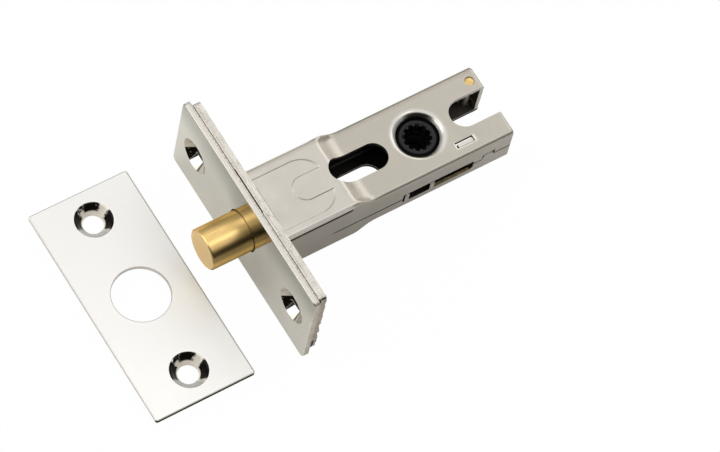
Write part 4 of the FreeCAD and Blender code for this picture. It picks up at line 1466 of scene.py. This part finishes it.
class LOCK_OT_strike_plate(bpy.types.Operator):
    """Press the strike plate with its two dimpled screw holes"""

    bl_idname = "lock.strike_plate"
    bl_label = "Strike plate"

    def execute(self, context):
        strike, screws = context.scene.lock_strike, context.scene.lock_screws
        nickel, edge = finish_of("Strike nickel"), finish_of("Strike edge")
        face = Vector((STRIKE_MIDDLE.x, STRIKE_MIDDLE.y, STRIKE_HIGH.z))
        half = (STRIKE_HIGH - STRIKE_LOW) / 2
        half.z = strike.sheet / 2
        plate = slab("strike_plate_dressed", face - Vector((0, 0, half.z)), half, strike, 0, 1, nickel)
        two_finishes(plate, edge, lambda side: abs(side.normal.z) < 0.3)
        wide = screws.sink_radius + screws.dimple_wall / 2
        profile = [(screws.radius + screws.dimple_wall, STRIKE_LOW.z - STRIKE_HIGH.z), (wide, -half.z)]
        join(plate, screw_row(context, turned("Dimple", profile, ORIGIN, 2, nickel), face))
        profile = sink_profile(screws.radius, strike.sink_radius, strike.sink_depth, screws.rim_roll)
        sinks = screw_row(context, turned("Sink", profile, ORIGIN, 2, finish_of("Dimple nickel")), face)
        cut(plate, sinks, drill("Bolt hole", strike.hole_radius, (face.x, face.y, 0), 2, edge, FINE))
        dressed(plate, "lock_body", "bright_nickel", "strike_plate")
        return {"FINISHED"}


def lit_floor(name, share):
    """Pale floor: the background's white for the eye and for metals, with a faint shadow."""
    paint = new_paint(name)
    path = paint.node("ShaderNodeLightPath")
    seen = path["Is Camera Ray"].at_least(path["Is Glossy Ray"] * 0.16).at_least(path["Is Transmission Ray"])
    white = (1.0, 1.0, 1.0, 1.0)
    glow = paint.node("ShaderNodeEmission", sockets={"Color": white, "Strength": 1.0})["Emission"]
    matt = paint.node("ShaderNodeBsdfDiffuse", sockets={"Color": (0.88, 0.88, 0.87, 1.0)})["BSDF"]
    paint.finish(paint.node("ShaderNodeMixShader", sockets={0: seen * share, 1: matt, 2: glow})["Shader"])


def studio_world(stage):
    """Bright dome overhead that fades towards the viewer's side and the horizon."""
    world = bpy.data.worlds.new("Studio")
    world.use_nodes = True
    paint = Paint(world.node_tree, "Generated")
    x, y, z = paint.parts
    viewer_side = x * cos(stage.azimuth) + y * sin(stage.azimuth)
    overhead = paint.soft(z, 0.3, 0.85) * (1.0 - 0.75 * paint.soft(viewer_side, 0.3, 0.62))
    far_side = 1.0 - paint.soft(viewer_side, -0.2, 0.8)
    low_left = paint.soft(y, -0.5, -0.8) * paint.soft(z, 0.05, 0.2) * (1.0 - overhead)
    strength = 0.018 + stage.horizon * far_side + stage.dome * overhead + 0.4 * low_left
    values = {"Color": (1.0, 0.995, 0.985, 1.0), "Strength": strength}
    paint.finish(paint.node("ShaderNodeBackground", sockets=values)["Background"], "ShaderNodeOutputWorld")
    return world


def softbox(name, place, size, power):
    """Rectangular lamp that looks at the lock's middle."""
    target = Vector((0, 0, -0.01))
    lamp = bpy.data.lights.new(name, "AREA")
    lamp.shape = "RECTANGLE"
    lamp.size, lamp.size_y = size
    lamp.energy = power
    box = added(name, lamp)
    box.location = place
    box.rotation_euler = (target - Vector(place)).to_track_quat("-Z", "Y").to_euler()


class LOCK_OT_stage(bpy.types.Operator):
    """Lay the floor, light it and set the camera"""

    bl_idname = "lock.stage"
    bl_label = "Stage"

    def execute(self, context):
        stage = context.scene.lock_stage
        side, low = stage.floor_size / 2, CAD_LOW.z
        corners = [(-side, -side, low), (side, -side, low), (side, side, low), (-side, side, low)]
        mesh = bpy.data.meshes.new("Floor")
        mesh.from_pydata(corners, [], [(0, 1, 2, 3)])
        lit_floor("Floor", 0.985)
        mesh.materials.append(finish_of("Floor"))
        floor = added("Floor", mesh)
        context.scene.world = studio_world(stage)
        softbox("Left light", (0.85, -0.38, 0.52), (1.0, 0.9), stage.left)
        softbox("Back light", (-0.78, -0.46, 0.52), (0.9, 0.8), stage.back)
        softbox("Top light", (0.27, -0.38, 1.0), (0.3, 0.45), stage.top)
        softbox("Fold light", (-0.38, 0.2, 1.0), (0.28, 0.28), stage.fold)
        self.camera(context, stage)
        context.scene.view_settings.view_transform = "Standard"
        return {"FINISHED"}

    def camera(self, context, stage):
        lens = bpy.data.cameras.new("Camera")
        lens.lens = stage.lens
        lens.sensor_width = 36
        lens.sensor_fit = "HORIZONTAL"
        lens.clip_start = 0.01
        lens.clip_end = 20
        camera = added("Camera", lens)
        level = cos(stage.elevation)
        back = Vector((cos(stage.azimuth) * level, sin(stage.azimuth) * level, sin(stage.elevation)))
        upright = back.to_track_quat("Z", "Y").to_matrix().to_4x4()
        rolled = upright @ Matrix.Rotation(stage.roll, 4, "Z")
        camera.matrix_world = Matrix.Translation(Vector(stage.aim) + back * stage.distance) @ rolled
        context.scene.camera = camera


OPERATORS = (
    LOCK_OT_finishes,
    LOCK_OT_faceplate,
    LOCK_OT_mounting_plate,
    LOCK_OT_near_shell,
    LOCK_OT_far_shell,
    LOCK_OT_bolt,
    LOCK_OT_hub,
    LOCK_OT_rear_rivet,
    LOCK_OT_strike_plate,
    LOCK_OT_stage,
)


class LOCK_PT_panel(bpy.types.Panel):
    """Sizes, colours and building steps of the privacy bolt"""

    bl_idname = "LOCK_PT_panel"
    bl_label = "Privacy bolt"
    bl_space_type = "VIEW_3D"
    bl_region_type = "UI"
    bl_category = "Lock"

    def draw(self, context):
        for operator in OPERATORS:
            self.layout.operator(operator.bl_idname)
        for name, group in GROUPS.items():
            column = self.layout.column(heading=group.__doc__)
            for prop in group.__annotations__:
                column.prop(getattr(context.scene, name), prop)


def register():
    for group in GROUPS.values():
        bpy.utils.register_class(group)
    for name, group in GROUPS.items():
        setattr(bpy.types.Scene, name, PointerProperty(type=group))
    for operator in OPERATORS:
        bpy.utils.register_class(operator)
    bpy.utils.register_class(LOCK_PT_panel)


def unregister():
    bpy.utils.unregister_class(LOCK_PT_panel)
    for operator in reversed(OPERATORS):
        bpy.utils.unregister_class(operator)
    for name, group in GROUPS.items():
        delattr(bpy.types.Scene, name)
        bpy.utils.unregister_class(group)


def main():
    register()
    for operator in OPERATORS:
        group, name = operator.bl_idname.split(".")
        getattr(getattr(bpy.ops, group), name)()


if __name__ == "__main__":
    main()
